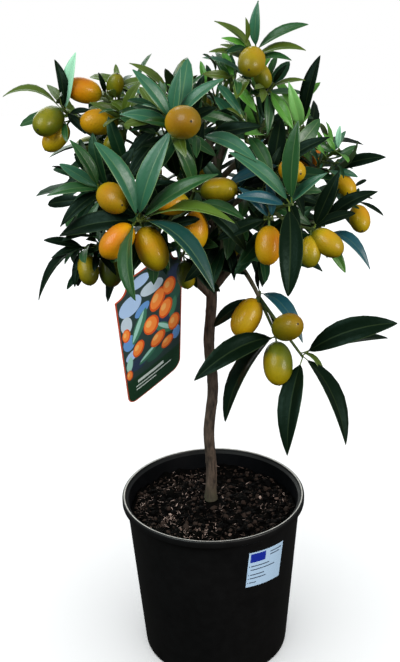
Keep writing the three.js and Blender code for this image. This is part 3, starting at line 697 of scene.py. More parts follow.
# %% The rows of the boughs
TRUNK = {"foot": (-3.0, 11.0), "fork": (3.0, 5.0, 492.0), "foot_radius": 8.8, "body": 6.5,
         "fork_radius": 6.1, "flare": 26.0, "wave": 2.6, "waves": 2.5}
CLEAR = 0.3                               # gap kept between touching solids

# Boughs: name, parent, share of the parent's length where it starts, tip, upward bow.
BOUGHS = [
    ("leader", "trunk", 0.97, (16, 22, 612), 0.06),
    ("left", "trunk", 0.93, (-72, -22, 576), 0.1),
    ("lower_left", "trunk", 0.88, (-84, -22, 519), 0.1),
    ("front", "trunk", 0.95, (-36, -62, 560), 0.16),
    ("right_front", "trunk", 0.96, (60, -56, 566), 0.1),
    ("right_low", "trunk", 0.9, (104, -24, 546), 0.12),
    ("sprig", "trunk", 0.93, (36, -30, 500), 0.3),
    ("back", "trunk", 0.97, (-8, 86, 572), 0.12),
    ("back_low", "trunk", 0.89, (26, 66, 520), 0.1),
    ("upper_left", "leader", 0.35, (-74, 4, 642), 0.08),
    ("right_upper", "leader", 0.4, (104, 8, 596), 0.08),
    ("back_left", "leader", 0.25, (-70, 52, 588), 0.08),
    ("back_right", "leader", 0.5, (70, 68, 596), 0.08),
    ("upper_front", "leader", 0.6, (-22, -36, 646), 0.08),
    ("right_shoulder", "leader", 0.72, (62, -2, 628), 0.06),
    ("back_top", "leader", 0.82, (-10, 50, 664), 0.05),
    ("inner_front", "leader", 0.15, (24, -26, 560), 0.06),
    ("top", "leader", 0.96, (38, 4, 676), 0.04),
]
MASSES = [name for name, *_ in BOUGHS[1:]]
print(len(BOUGHS), "boughs and", len(MASSES), "masses of foliage")

# %% [markdown]
# ## Where leaves and fruit point
#
# Directions in a row of a shoot are read as on a clock face seen from in front of the plant: the clock angle
# runs anticlockwise from the right, and a second angle says how far the piece leans towards the front. A few
# leaves on most shoots in front are set this way, and the rule below adds the rest.

# %% The rows of the shoots
CROWN = np.array([0.0, 25.0, 590.0])      # middle of the crown
EYE = np.array([-11.0, -1054.0, 836.0])   # clock angles are read from here
SUNNY = np.array([0.0, -0.7, 1.0])        # the way leaves turn: up, and to the front where the light is
GOLDEN = 137.5                            # turn from one leaf to the next, in degrees

# Shoots: mass, tip, number of leaves, their length and family of tints; then listed leaves as (clock,
# towards, length, turn from the eye to the sky, upward arch, tint); then fruit as (clock, towards, length,
# ripeness from 0 green to 1 orange, and for some how much painted shade darkens the far end).
SHOOTS = [
    ("front", (-71, -110, 577), 3, 84, "dark",
     [(-93, 32, 88, 50, 0, "green"), (116, 10, 86, 40, 0, "teal"), (67, 10, 94, 30, 0, "teal"),
      (28, 15, 91, 50, 0, "green"), (-4, 15, 94, 62, 0.02, "lime"),
      (-47, 25, 106, 50, 0.08, "slate"), (188, -20, 92, 30, 0, "deep"), (150, -30, 70, 20, 0, "deep")],
     [(-137, 8, 42, 0.82), (-69, 8, 46, 0.62)]),
    ("front", (-12, -94, 590), 3, 70, "dark",
     [(-22, -12, 54, 40, 0, "green"), (-45, -8, 70, 30, 0, "deep")],
     [(180, 15, 36, 0.68), (-93, 5, 40, 0.78)]),
    ("front", (-14, -72, 596), 3, 72, "dark",
     [(111, 25, 60, 30, 0, "green"), (80, 0, 70, 20, 0, "deep")],
     [(2, 15, 38, 0.5)]),
    ("front", (-27, -60, 524), 5, 66, "dark",
     [(-52, 5, 52, 30, 0, "deep"), (-20, 0, 70, 30, 0, "deep")],
     [(-85, 10, 30, 0.28)]),
    ("upper_front", (-33, -84, 668), 7, 60, "mixed",
     [(126, 10, 62, 35, 0, "teal"), (80, 10, 54, 30, 0, "teal"), (40, 10, 66, 48, 0, "teal"),
      (22, 0, 46, 20, 0, "deep"), (167, 40, 40, 30, 0, "green"), (164, 10, 56, 20, 0.05, "teal")],
     [(5, 72, 48, 0.62, 0.6)]),
    ("upper_front", (-6, -60, 649), 6, 66, "dark",
     [(-25, 30, 70, 35, 0.05, "teal"), (10, 20, 66, 30, 0, "deep")],
     []),
    ("upper_front", (-48, -60, 652), 6, 56, "dark",
     [(155, 20, 44, 20, 0, "green"), (230, 20, 56, 30, 0, "deep")],
     []),
    ("upper_front", (-36, -24, 684), 4, 50, "mixed",
     [(140, 20, 54, 55, 0, "olive"), (60, 10, 34, 20, 0, "olive")],
     []),
    ("top", (54, 0, 726), 9, 50, "mixed",
     [(87, 10, 47, 20, 0, "teal"), (25, 10, 60, 50, 0.03, "green"), (141, 10, 53, 55, 0, "olive"),
      (150, 20, 40, 50, 0, "fresh"), (8, 10, 55, 55, 0.05, "olive"), (152, -10, 38, 55, 0, "olive"),
      (4, 15, 42, 50, 0.05, "green"), (161, 20, 48, 60, 0.05, "olive"), (-100, 20, 46, 20, 0, "deep")],
     [(-110, 68, 42, 0.46, 0.4), (-66, 10, 28, 0.35)]),
    ("top", (72, 0, 690), 6, 46, "young",
     [(54, 10, 24, 20, 0, "deep"), (11, 10, 36, 55, 0, "olive"), (-58, 20, 50, 10, 0, "fresh"),
      (-90, 20, 46, 20, 0, "green")],
     []),
    ("top", (28, -10, 700), 6, 58, "young",
     [(172, 40, 38, 10, 0, "olive"), (-50, 30, 46, 20, 0, "fresh"), (120, 20, 28, 40, 0, "green")],
     []),
    ("right_front", (83, -100, 587), 3, 76, "dark",
     [(86, 15, 82, 35, 0, "green"), (140, 12, 80, 45, 0, "teal"), (-90, 25, 96, 10, 0, "deep"),
      (39, 20, 52, 40, 0, "teal"), (170, 30, 56, 30, 0, "blue")],
     []),
    ("right_front", (107, -82, 556), 1, 60, "dark",
     [(67, 10, 64, 5, 0, "deep"), (20, -20, 50, 30, 0, "deep")],
     [(-92, 15, 33, 0.48), (-36, 20, 38, 0.5, 0.3)]),
    ("right_front", (64, -92, 570), 2, 60, "dark",
     [(98, 10, 44, 30, 0, "blue"), (135, 15, 46, 30, 0, "blue"), (-158, 10, 56, 20, 0, "deep")],
     [(-93, 15, 40, 0.8)]),
    ("right_front", (77, -50, 615), 6, 66, "dark",
     [(200, 10, 60, 40, 0, "blue"), (30, 20, 60, 30, 0, "deep")],
     [(-20, 60, 36, 0.75)]),
    ("sprig", (99, -70, 410), 3, 96, "dark",
     [(-98, 15, 108, 25, 0, "deep"), (20, 15, 108, 15, 0.06, "deep"), (-63, 15, 108, 50, 0.03, "deep"),
      (11, -15, 100, 60, 0, "deep"), (-50, 0, 44, 60, 0.15, "olive")],
     []),
    ("sprig", (72, -60, 429), 3, 96, "dark",
     [(208, 20, 104, 20, 0.06, "deep"), (240, 10, 108, 50, 0.04, "deep"), (110, -10, 26, 50, 0, "deep")],
     [(-86, 15, 48, 0.42), (18, 60, 44, 0.56, 0.5)]),
    ("sprig", (52, -52, 468), 3, 70, "dark",
     [(212, -20, 62, 20, 0.04, "deep"), (-49, 21, 74, 33, 0.12, "blue"), (85, 5, 34, 50, 0, "deep")],
     [(-118, 14, 46, 0.8)]),
    ("upper_left", (-149, -10, 671), 7, 56, "sunny",
     [(166, 5, 60, 60, 0.1, "olive"), (95, 15, 52, 35, 0, "deep"), (97, 0, 24, 50, 0, "deep"),
      (76, 14, 62, 36, 0, "mint"), (-52, 40, 36, 10, 0, "deep"), (5, 30, 28, 30, 0, "deep")],
     [(215, 50, 42, 0.2)]),
    ("upper_left", (-140, -16, 662), 3, 40, "dark",
     [],
     [(-135, 10, 35, 0.62)]),
    ("upper_left", (-104, 4, 683), 5, 48, "sunny",
     [(105, 15, 24, 20, 0, "deep"), (18, 5, 50, 55, 0, "olive"), (-40, 40, 44, 20, 0, "olive")],
     [(162, 15, 39, 0.8), (75, 30, 27, 0.25)]),
    ("upper_left", (-86, -22, 662), 6, 52, "sunny",
     [(60, 30, 50, 40, 0, "olive"), (150, 30, 46, 30, 0, "olive")],
     [(178, 15, 40, 0.65), (-135, 20, 29, 0.25)]),
    ("upper_left", (-78, 36, 680), 6, 52, "sunny", [], []),
    ("left", (-109, -72, 601), 7, 52, "dark",
     [(118, 10, 56, 30, 0, "green"), (146, 10, 48, 10, 0, "teal"), (184, 10, 56, 40, 0, "green"),
      (217, 10, 58, 30, 0, "deep"), (-106, 15, 34, 20, 0, "deep")],
     [(-40, 60, 44, 0.6, 0.4)]),
    ("left", (-124, -30, 580), 6, 44, "dark", [], []),
    ("left", (-136, 4, 592), 5, 42, "dark", [], []),
    ("left", (-88, -44, 618), 6, 56, "dark",
     [(22, 20, 40, 40, 0, "deep"), (45, 10, 56, 30, 0, "deep")],
     []),
    ("lower_left", (-134, -40, 529), 7, 50, "dark",
     [(-105, 10, 42, 30, 0, "deep"), (166, 10, 44, 30, 0, "deep"), (193, 15, 40, 35, 0, "deep"),
      (223, 10, 78, 60, 0.1, "deep"), (-80, 40, 30, 40, 0, "deep"), (-55, 20, 40, 20, 0, "deep")],
     [(-85, 15, 34, 0.5, 0.3)]),
    ("lower_left", (-113, -26, 526), 5, 52, "dark",
     [(-60, 20, 50, 30, 0, "deep")],
     [(-90, 20, 40, 0.28)]),
    ("lower_left", (-92, 30, 502), 5, 56, "dark", [], []),
    ("right_upper", (141, 10, 596), 6, 54, "mixed",
     [(14, 10, 56, 20, 0.03, "deep"), (-12, 30, 34, 30, 0, "teal")],
     [(-45, 25, 32, 0.54)]),
    ("right_upper", (144, 10, 617), 5, 40, "young",
     [(88, 10, 26, 20, 0, "mint"), (125, 10, 24, 20, 0, "fresh"), (160, 20, 30, 30, 0, "green")],
     []),
    ("right_upper", (132, -26, 598), 2, 42, "dark", [], []),
    ("right_low", (122, -46, 549), 3, 66, "dark",
     [(32, 15, 68, 30, 0.03, "deep"), (60, 0, 44, 20, 0, "deep")],
     []),
    ("right_low", (124, -50, 540), 3, 58, "dark",
     [(-37, 20, 62, 40, 0.12, "blue"), (-57, 10, 48, 15, 0, "fresh")],
     []),
    ("right_low", (164, 0, 562), 4, 34, "dark", [], [(-75, 40, 34, 0.66)]),
    ("right_shoulder", (104, 0, 645), 6, 60, "young",
     [(77, 5, 74, 40, 0, "deep"), (106, 30, 56, 5, 0, "light"), (-95, 30, 50, 10, 0, "fresh")],
     []),
    ("right_shoulder", (66, 22, 650), 6, 60, "young",
     [(80, 10, 44, 20, 0, "deep")],
     []),
    ("right_shoulder", (44, -32, 646), 6, 64, "mixed",
     [(160, 20, 62, 30, 0, "green"), (-60, 30, 60, 20, 0, "green")],
     []),
    ("inner_front", (34, -44, 588), 8, 66, "dark",
     [(64, 10, 58, 30, 0, "blue")], []),
    ("right_front", (64, -46, 534), 6, 66, "dark",
     [(-30, 10, 66, 30, 0, "deep")],
     []),
    ("inner_front", (14, -50, 542), 6, 70, "dark",
     [(-75, 10, 50, 30, 0, "deep")],
     []),
    ("back_top", (-34, 72, 666), 8, 52, "mixed", [], [(40, -60, 38, 0.9)]),
    ("back_top", (26, 84, 664), 7, 52, "mixed", [], [(200, -50, 38, 0.5), (-60, -50, 36, 0.85)]),
    ("back_top", (-8, 34, 676), 6, 42, "young", [], []),
    ("back_left", (-112, 60, 622), 8, 64, "dark", [], [(190, -40, 40, 0.2)]),
    ("back_left", (-122, 62, 566), 7, 64, "dark", [], [(-110, -40, 40, 0.3), (210, -20, 38, 0.9)]),
    ("back_left", (-72, 108, 596), 8, 66, "mixed", [], [(-70, -50, 40, 0.6)]),
    ("back_right", (112, 84, 606), 8, 66, "dark", [], [(-40, -50, 40, 0.95)]),
    ("back_right", (72, 118, 576), 8, 66, "mixed", [], [(-100, -40, 42, 0.7), (-20, -60, 38, 0.2)]),
    ("back_right", (62, 96, 640), 7, 62, "young", [], []),
    ("back", (-22, 142, 604), 8, 70, "mixed", [], [(-120, -40, 42, 0.9), (-60, -40, 44, 0.75)]),
    ("back", (20, 132, 566), 7, 68, "dark", [], [(-90, -40, 40, 0.4)]),
    ("back", (-48, 118, 548), 7, 66, "dark", [], [(-100, -30, 38, 0.85)]),
    ("back_low", (46, 92, 512), 7, 66, "dark", [], [(-100, -30, 40, 0.55)]),
    ("back_low", (98, 62, 534), 7, 66, "dark", [], [(-80, -20, 38, 0.15)]),
    ("back", (-58, 84, 516), 6, 66, "dark", [], [(-110, -20, 38, 0.7)]),
    ("inner_front", (-30, -34, 600), 8, 64, "dark", [], []),
    ("right_front", (60, -54, 584), 6, 56, "dark", [], []),
    ("front", (-64, -82, 560), 8, 58, "dark", [], []),
]
print(len(SHOOTS), "shoots,", sum(len(row[5]) for row in SHOOTS), "leaves set by hand and",
      sum(len(row[6]) for row in SHOOTS), "fruit")

# %% [markdown]
# ## Stem and boughs
#
# Young citrus bark is thin: fine ridges run lengthwise, old leaf scars ring the stem, and moss tints the
# foot. A plain tube would look like plastic pipe, and a bump alone leaves its outline straight. So the rings
# of each limb are pushed in and out by ripples that are longer along the limb than round it, with a few
# swollen rings where leaves once stood. Marks on the points tell the material where moss and green young bark
# are.

# %% Lines of the stem and boughs
WIDEST = {"trunk": (5.0, 3.0), "leader": (3.6, 2.6)}   # a bough's radii at its ends, by its parent


def trunk_line(t):
    """Straight from foot to fork with a slow sway: wave sin(pi t) sin(2 pi waves t) in x, 0.6 of it in y."""
    sway = TRUNK["wave"] * np.sin(np.pi * t) * np.sin(2 * np.pi * TRUNK["waves"] * t)
    (x0, y0), (x1, y1, z1) = TRUNK["foot"], TRUNK["fork"]
    foot = SOIL["level"] + CLEAR
    return np.stack([x0 + (x1 - x0) * t + sway, y0 + (y1 - y0) * t + 0.6 * sway, foot + (z1 - foot) * t], -1)


def trunk_radius(t):
    """Even taper from body to fork, plus a root flare that fades as exp(-3 height / flare)."""
    height = t * (TRUNK["fork"][2] - SOIL["level"])
    flare = (TRUNK["foot_radius"] - TRUNK["body"]) * np.exp(-3 * height / TRUNK["flare"])
    return TRUNK["body"] + (TRUNK["fork_radius"] - TRUNK["body"]) * t + flare


def taper(a, b):
    """A radius that runs evenly from a to b."""
    return lambda t: a + (b - a) * t


def lay_out_limbs():
    """Each limb's line and radius. The middle point of a bough's curve is lifted by twice its bow."""
    limbs = {"trunk": (trunk_line, trunk_radius)}
    for name, parent, share, tip, bow in BOUGHS:
        line, radius = limbs[parent]
        start, tip = at(line, share), np.array(tip, float)
        middle = (start + tip) / 2 + 2 * bow * np.linalg.norm(tip - start) * UP
        widest, narrowest = WIDEST[parent]
        limbs[name] = (bezier(start, middle, tip), taper(min(widest, float(radius(share))), narrowest))
    return limbs


# %% Make the stem and boughs
BARK = {"sides": 48, "steps": 300, "bough_sides": 16, "bough_steps": 44, "ridge": 0.055, "scar": 0.07,
        "scar_spacing": 38.0, "scar_width": 3.0, "sunk": 5.0, "moss": 26.0}


def bark_relief(length, sides, steps, seed):
    """Lengthwise ridges at two sizes, plus scars: rings at uneven spacing that swell most on one side."""
    a = np.linspace(0, 1, sides, endpoint=False)[None, :] * np.ones((steps + 1, 1))
    run = np.linspace(0, length, steps + 1)[:, None] * np.ones((1, sides))
    ridge = 0.6 * ripples(a * 7, run / 22, 7, seed) + 0.4 * ripples(a * 15, run / 7, 15, seed + 1)
    rng = np.random.default_rng(seed + 2)
    scars = np.arange(0.4, length / BARK["scar_spacing"]) * BARK["scar_spacing"]
    relief = BARK["ridge"] * ridge
    for place in scars + rng.uniform(-9, 9, len(scars)):
        near = np.exp(-((run - place) / BARK["scar_width"]) ** 2)
        relief = relief + BARK["scar"] * near * (0.4 + 0.6 * np.cos(2 * np.pi * (a - rng.uniform())))
    return relief


def make_limbs(limbs):
    """One mesh of the trunk and every bough, each a closed tube with its own relief."""
    parts = []
    for seed, (name, (line, radius)) in enumerate(limbs.items()):
        trunk = name == "trunk"
        sides, steps = BARK["bough_sides"], BARK["bough_steps"]
        if trunk:
            sides, steps = BARK["sides"], BARK["steps"]
        length = np.linalg.norm(np.diff(line(np.linspace(0, 1, 40)), axis=0), axis=1).sum()
        rings = limb_rings(line, radius, sides, steps, bark_relief(length, sides, steps, 40 + 3 * seed))
        if trunk:
            rings[0, :, 2] -= BARK["sunk"]
        height = np.append(rings[..., 2].ravel(), [rings[0, 0, 2], rings[-1, 0, 2]])
        moss = np.clip(1 - (height - SOIL["level"]) / BARK["moss"], 0, 1) if trunk else 0.0
        t = np.repeat(np.linspace(0, 1, steps + 1), sides)
        young = 0.0 if trunk else np.append(t, [0, 1])
        parts.append(tube(rings, moss=moss, young=young))
    return joined(parts)


def bark_material():
    """Mottled grey-brown, turned to moss green at the foot and to green young bark at the bough tips."""
    material, tree, shader = new_material("bark")
    mottle = place_group(tree, MOTTLE, Scale=260, Contrast=0.22, Stretch=(1, 1, 0.3),
                         Colour_A=(*rgb(38, 30, 25), 1), Colour_B=(*rgb(122, 102, 88), 1))
    grain = place_group(tree, GRAIN, Scale=1500, Smooth=0.6, Rough=0.85)
    patchy = worked_out(tree, "MULTIPLY", mark(tree, "moss"), mottle.outputs["Height"])
    mossy = mix_colours(tree, patchy, mottle.outputs["Color"], rgb(40, 56, 28))
    greened = mix_colours(tree, mark(tree, "young"), mossy, rgb(62, 76, 40))
    tree.links.new(greened, shader.inputs["Base Color"])
    tree.links.new(grain.outputs["Roughness"], shader.inputs["Roughness"])
    bump(tree, shader, mottle.outputs["Height"], 0.0005)
    return material


limbs = lay_out_limbs()
limb_form = make_limbs(limbs)
make_piece("stem_and_boughs", limb_form, [bark_material()],
           ["trunk"] + [f"bough_{name}" for name, *_ in BOUGHS], crease=60)

# %% [markdown]
# ## Shoots, leaves and fruit: the growing rule
#
# A mass starts with a stem that carries on from its bough. The stem ends in a hub, and a shoot runs from the
# hub to each tip in the rows. Leaves sit down a shoot at the golden turn from each other, and spread wider
# further from the tip. The numbers drawn for each shoot come from its own seed, so a shoot grows the same
# whatever happens to its neighbours. Listed leaves come first, and any other piece that would cross what
# is already there is skipped. Here the rule goes one step further than in the solids: each leafy shoot also
# has short side twigs with smaller leaves.

# %% Sizes and tints
TWIG = {"hub": 2.2, "tip": 1.5, "run": 30.0, "sides": 6, "steps": 8}
LEAF = {"width": 0.25, "step": 5.0, "whorl": 2.0, "petiole": 0.09, "stalk": 0.75, "thick": 0.45,
        "fold": 0.34, "foot": 0.7, "blunt": (0.55, 0.85), "rounder": 0.15}
SPREAD = {"least": 40.0, "wider": 45.0, "uneven": 20.0, "turn": 24.0, "roll": 40.0, "droop": 0.15}
SIDE = {"twigs": 4, "length": 24.0, "radius": 0.8, "leaves": 4, "share": 0.66, "spread": 52.0}
FEW = 3                                   # a shoot with no more leaves gets none beyond its own
# Teal, blue and slate have part of the sky's blue-green sheen painted into their colour. Deep and pine, most
# of the dark family, are darkened partly by painted shade.
TINTS = {"teal": rgb(50, 104, 76), "green": rgb(38, 84, 40), "deep": rgb(10, 24, 12),
         "pine": rgb(20, 50, 26), "blue": rgb(24, 78, 90), "slate": rgb(24, 66, 60),
         "olive": rgb(78, 98, 26), "fresh": rgb(86, 148, 52), "mint": rgb(168, 226, 190),
         "lime": rgb(86, 114, 36), "light": rgb(122, 184, 98)}
YOUNG = ("fresh", "mint", "olive", "lime", "light")    # tints whose underside is fresh too
FAMILIES = {"dark": ("deep", "deep", "pine", "pine", "green"), "mixed": ("green", "pine", "teal", "olive"),
            "young": ("fresh", "fresh", "green", "olive", "pine"),
            "sunny": ("olive", "green", "pine", "olive")}


# %% Directions and random draws
def seeded(seed):
    """Draws from 0 to 1: each is (1664525 times the last + 1013904223) modulo 2^32, over 2^32."""
    state = seed % 2 ** 32
    while True:
        state = (1664525 * state + 1013904223) % 2 ** 32
        yield state / 2 ** 32


def aimed(base, clock, towards):
    """The direction at a clock angle and an angle towards the eye, as seen at a point."""
    ahead = unit(base - EYE)
    right = unit(np.cross(ahead, UP))
    above = np.cross(right, ahead)
    c, t = math.radians(clock), math.radians(towards)
    return right * math.cos(c) * math.cos(t) + above * math.sin(c) * math.cos(t) - ahead * math.sin(t)


def square_to(along, way):
    """A direction made square to another."""
    return unit(way - along * way.dot(along))


def frame_level(axis):
    """Two directions square to an axis and to each other, the first one level."""
    side = unit(np.cross(axis, UP))
    return side, np.cross(side, axis)


def leaf_face(base, along, roll):
    """The side of a leaf that faces the light: sunwards and out of the crown, then rolled."""
    light = square_to(along, 0.8 * unit(base - CROWN) + SUNNY)
    return light * math.cos(math.radians(roll)) + np.cross(along, light) * math.sin(math.radians(roll))


def aimed_face(base, along, turn):
    """The face of a listed leaf: it looks at the eye, then turns towards the sky."""
    eyeward = square_to(along, EYE - base)
    lifted = np.cross(along, eyeward)
    lifted = lifted if lifted[2] >= 0 else -lifted
    return eyeward * math.cos(math.radians(turn)) + lifted * math.sin(math.radians(turn))


# %% [markdown]
# ## The shape of a leaf
#
# A citrus leaf is a thin blade on a short stalk, folded a little along its midrib, widest near its middle and
# pointed at its tip. Two formulas give the blade's width and how each half rises from the rib. The leaf is
# closed all round, about a millimetre thick at the rib, so that its edge shows a pale margin and its
# underside has a finish of its own. Listed leaves stand out in front and get more points than the
# others.

# %% Shape of a leaf
def leaf_rows(leaf, t, half, across):
    """Points at shares t of a leaf's length and shares u of its half width. The middle line bows by
    4 bow t (1 - t) of the length towards the face and arches as much upward, and each half rises from the
    rib by fold half (2|u| - u^2), so it levels out at the edge."""
    side = np.cross(leaf["along"], leaf["face"])
    hump = (4 * leaf["length"] * t * (1 - t))[:, None]
    middle = leaf["base"] + (t * leaf["length"])[:, None] * leaf["along"]
    middle = middle + hump * (leaf["bow"] * leaf["face"] + leaf["arch"] * UP)
    rise = LEAF["fold"] * half[:, None] * (2 * np.abs(across) - across ** 2)
    return middle[:, None] + (half[:, None] * across)[..., None] * side + rise[..., None] * leaf["face"]


def half_width(leaf, t):
    """Half the width at t: a thin stalk, then q^foot (1 - q)^blunt scaled to the widest, q from blade foot to
    tip."""
    foot, blunt = LEAF["foot"], leaf["blunt"]
    q = np.clip((t - LEAF["petiole"]) / (1 - LEAF["petiole"]), 0, 1)
    widest = (foot / (foot + blunt)) ** foot * (blunt / (foot + blunt)) ** blunt
    blade = LEAF["width"] * leaf["length"] / 2 * q ** foot * (1 - q) ** blunt / widest
    return np.maximum(blade, LEAF["stalk"])


# %% Sections and surfaces of a leaf
# Round a section: place as a share of the half width, thickness there, and the part that starts there.
FINE_ROUND = [(1, 0, "under"), (0, -1.2, "under"), (-1, 0, "margin"), (-0.94, 0.5, "upper"),
              (-0.5, 1, "upper"), (-0.06, 0.7, "rib"), (0.06, 0.7, "upper"), (0.5, 1, "upper"),
              (0.94, 0.5, "margin")]
PLAIN_ROUND = [(1, 0, "under"), (0, -1.2, "under"), (-1, 0, "margin"), (-0.93, 0.5, "upper"),
               (-0.07, 1, "rib"), (0.07, 1, "upper"), (0.93, 0.5, "margin")]
# Along a blade: the shares of its length where it has a section.
FINE_RUN = (0.05, 0.14, 0.26, 0.4, 0.55, 0.69, 0.81, 0.9, 0.96, 0.988)
PLAIN_RUN = (0.1, 0.28, 0.5, 0.72, 0.9)


def leaf_slot(tint, part):
    """The number of a finish: upper side, rib and margin for each tint, then stalk and two undersides."""
    own = ("upper", "rib", "margin")
    if part in own:
        return len(own) * list(TINTS).index(tint) + own.index(part)
    if part == "under":
        part = "fresh under" if tint in YOUNG else "dull under"
    return len(own) * len(TINTS) + ("stalk", "dull under", "fresh under").index(part)


def leaf_shape(leaf):
    """A closed blade: each ring goes once round its section, from one edge under the rib to the other edge
    and back over the top. Faces of the same place on the ring share a finish."""
    section, run = (FINE_ROUND, FINE_RUN) if leaf["set"] else (PLAIN_ROUND, PLAIN_RUN)
    across, thick = (np.array(column, float) for column in list(zip(*section))[:2])
    t = np.concatenate([[0, LEAF["petiole"]], LEAF["petiole"] + (1 - LEAF["petiole"]) * np.array(run)])
    rings = leaf_rows(leaf, t, half_width(leaf, t), across)
    rings = rings + LEAF["thick"] * thick[None, :, None] * leaf["face"]
    tip = leaf_rows(leaf, np.array([1.0]), np.zeros(1), np.zeros(1))[0, 0]
    finish = [leaf_slot(leaf["tint"], part) for _, _, part in section]
    stalk = [leaf_slot(leaf["tint"], "stalk")] * len(section)
    slots = stalk + finish * (len(t) - 2) + stalk + finish
    return tube(rings, (rings[0].mean(0), tip), slots)


def leaf_plate(leaf):
    """The leaf past its stalk as a bare plate, for the test that it crosses nothing."""
    t = np.linspace(0.18, 1, 7)
    points = leaf_rows(leaf, t, half_width(leaf, t), np.array([-1.0, 0, 1])).reshape(-1, 3)
    i, j = (m.ravel() for m in np.meshgrid(np.arange(6), np.arange(2), indexing="ij"))
    return points, np.stack([3 * i + j, 3 * i + j + 1, 3 * i + j + 4, 3 * i + j + 3], -1)


# %% Room for a new leaf
ROOM = 7.0                                # how far past its solid a mass may reach


class Room:
    """What has been placed so far: for each piece its lowest and highest corner, and a tree of its faces."""

    def __init__(self):
        self.low, self.high, self.trees = np.empty((0, 3)), np.empty((0, 3)), []

    def fits(self, points, faces):
        """Whether a new piece crosses nothing whose box it meets."""
        tree = BVHTree.FromPolygons(points.tolist(), face_lists(faces))
        near = np.all((self.low < points.max(0)) & (self.high > points.min(0)), axis=1)
        return not any(self.trees[k].overlap(tree) for k in np.flatnonzero(near))

    def add(self, points, faces):
        """Takes a new piece in."""
        self.low = np.vstack([self.low, points.min(0)])
        self.high = np.vstack([self.high, points.max(0)])
        self.trees.append(BVHTree.FromPolygons(points.tolist(), face_lists(faces)))


def inside(points, mass):
    """Whether points stay in a mass's own space: its solid's box and a little more."""
    low, high = (np.array(corner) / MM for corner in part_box(f"foliage_{mass}"))
    return bool(np.all(points > low - ROOM) and np.all(points < high + ROOM))


def leaves_with_room(offered, room):
    """The offered leaves that stay in their mass's space and cross nothing. Each takes its room at once."""
    kept = []
    for leaf in offered:
        plate = leaf_plate(leaf)
        if inside(plate[0], leaf["mass"]) and room.fits(*plate):
            room.add(*plate)
            kept.append(leaf)
    return kept


# %% Shoots and what they offer
def make_shoot(mass, index, hub, row):
    """A shoot from the hub to its tip. It ends upright and outward, but hanging shoots run straight on."""
    tip = np.array(row[1], float)
    axis = unit(tip - hub) if mass == "sprig" else unit(unit(tip - CROWN) + 0.35 * UP)
    return {"mass": mass, "index": index, "row": row, "axis": axis, "reach": np.linalg.norm(tip - hub),
            "line": bezier(hub, tip - TWIG["run"] * axis, tip)}


def back_from_tip(shoot, way):
    """The point a given way back from a shoot's tip."""
    return at(shoot["line"], max(0.0, 1 - way / shoot["reach"]))


def leaves_by_rule(shoot):
    """Every leaf that the rule offers on one shoot, the listed ones first. Leaf k leaves the shoot's axis
    by an angle that widens with k, about it by k golden turns, and droops a little."""
    _, _, count, longest, family, aims, _ = shoot["row"]
    draw = seeded(7919 * (shoot["index"] + 1))
    tints = np.random.default_rng(shoot["index"])
    side, other = frame_level(shoot["axis"])
    first = 360 * next(draw)
    wanted = max(count, len(aims))
    places = 2 * wanted
    step = min(LEAF["step"], 0.85 * shoot["reach"] / places)
    for k in range(places if count > FEW else wanted):
        by_hand = k < len(aims)
        j = [next(draw) for _ in range(5)]
        near = min(k, len(aims))
        base = back_from_tip(shoot, 1 + LEAF["whorl"] * near + step * (k - near))
        turn = math.radians(first + GOLDEN * k + SPREAD["turn"] * (j[0] - 0.5))
        spread = math.radians(SPREAD["least"] + SPREAD["wider"] * k / places
                              + SPREAD["uneven"] * (j[1] - 0.5))
        outward = side * math.cos(turn) + other * math.sin(turn)
        along = unit(shoot["axis"] * math.cos(spread) + outward * math.sin(spread) - SPREAD["droop"] * UP)
        length, arch = longest * (0.8 + 0.4 * j[2]), 0.0
        face = leaf_face(base, along, SPREAD["roll"] * (j[3] - 0.5))
        tint = str(tints.choice(FAMILIES[family]))
        if by_hand:
            clock, towards, length, turn, arch, tint = aims[k]
            along = aimed(base, clock, towards)
            face = aimed_face(base, along, turn)
        blunt = tints.uniform(*LEAF["blunt"]) + LEAF["rounder"] * by_hand
        yield {"base": base, "along": along, "face": face, "length": length, "bow": 0.05 + 0.09 * j[4],
               "arch": arch, "blunt": blunt, "tint": tint, "set": by_hand, "mass": shoot["mass"]}


def side_leaf(rng, shoot, line, along, m):
    """Leaf m of a side twig: it leaves the twig's tip or a place below by m golden turns from the first."""
    swing = math.radians(GOLDEN * m + 360 * rng.uniform())
    side, other = frame_level(along)
    way = unit(along + 0.75 * (side * math.cos(swing) + other * math.sin(swing)) - 0.1 * UP)
    base = at(line, 1 - 0.2 * m)
    face = leaf_face(base, way, SPREAD["roll"] * (rng.uniform() - 0.5))
    length = SIDE["share"] * shoot["row"][3] * rng.uniform(0.8, 1.2)
    return {"base": base, "along": way, "face": face, "length": length, "bow": rng.uniform(0.04, 0.12),
            "arch": 0.0, "blunt": rng.uniform(*LEAF["blunt"]),
            "tint": str(rng.choice(FAMILIES[shoot["row"][4]])), "set": False, "mass": shoot["mass"]}


def side_twigs(shoot):
    """Short twigs that leave a shoot at the golden turn, each with its own few small leaves."""
    rng = np.random.default_rng(500 + shoot["index"])
    side, other = frame_level(shoot["axis"])
    for k in range(SIDE["twigs"]):
        start = at(shoot["line"], 0.3 + 0.5 * k / SIDE["twigs"] + 0.15 * rng.uniform())
        turn = math.radians(GOLDEN * k + 360 * rng.uniform())
        spread = math.radians(SIDE["spread"] + 20 * rng.uniform(-1, 1))
        outward = side * math.cos(turn) + other * math.sin(turn)
        along = unit(shoot["axis"] * math.cos(spread) + outward * math.sin(spread))
        tip = start + along * SIDE["length"] * rng.uniform(0.7, 1.2) + 3 * UP
        line = bezier(start, start + 0.5 * (tip - start) - 2 * UP, tip)
        yield line, [side_leaf(rng, shoot, line, along, m) for m in range(SIDE["leaves"])]


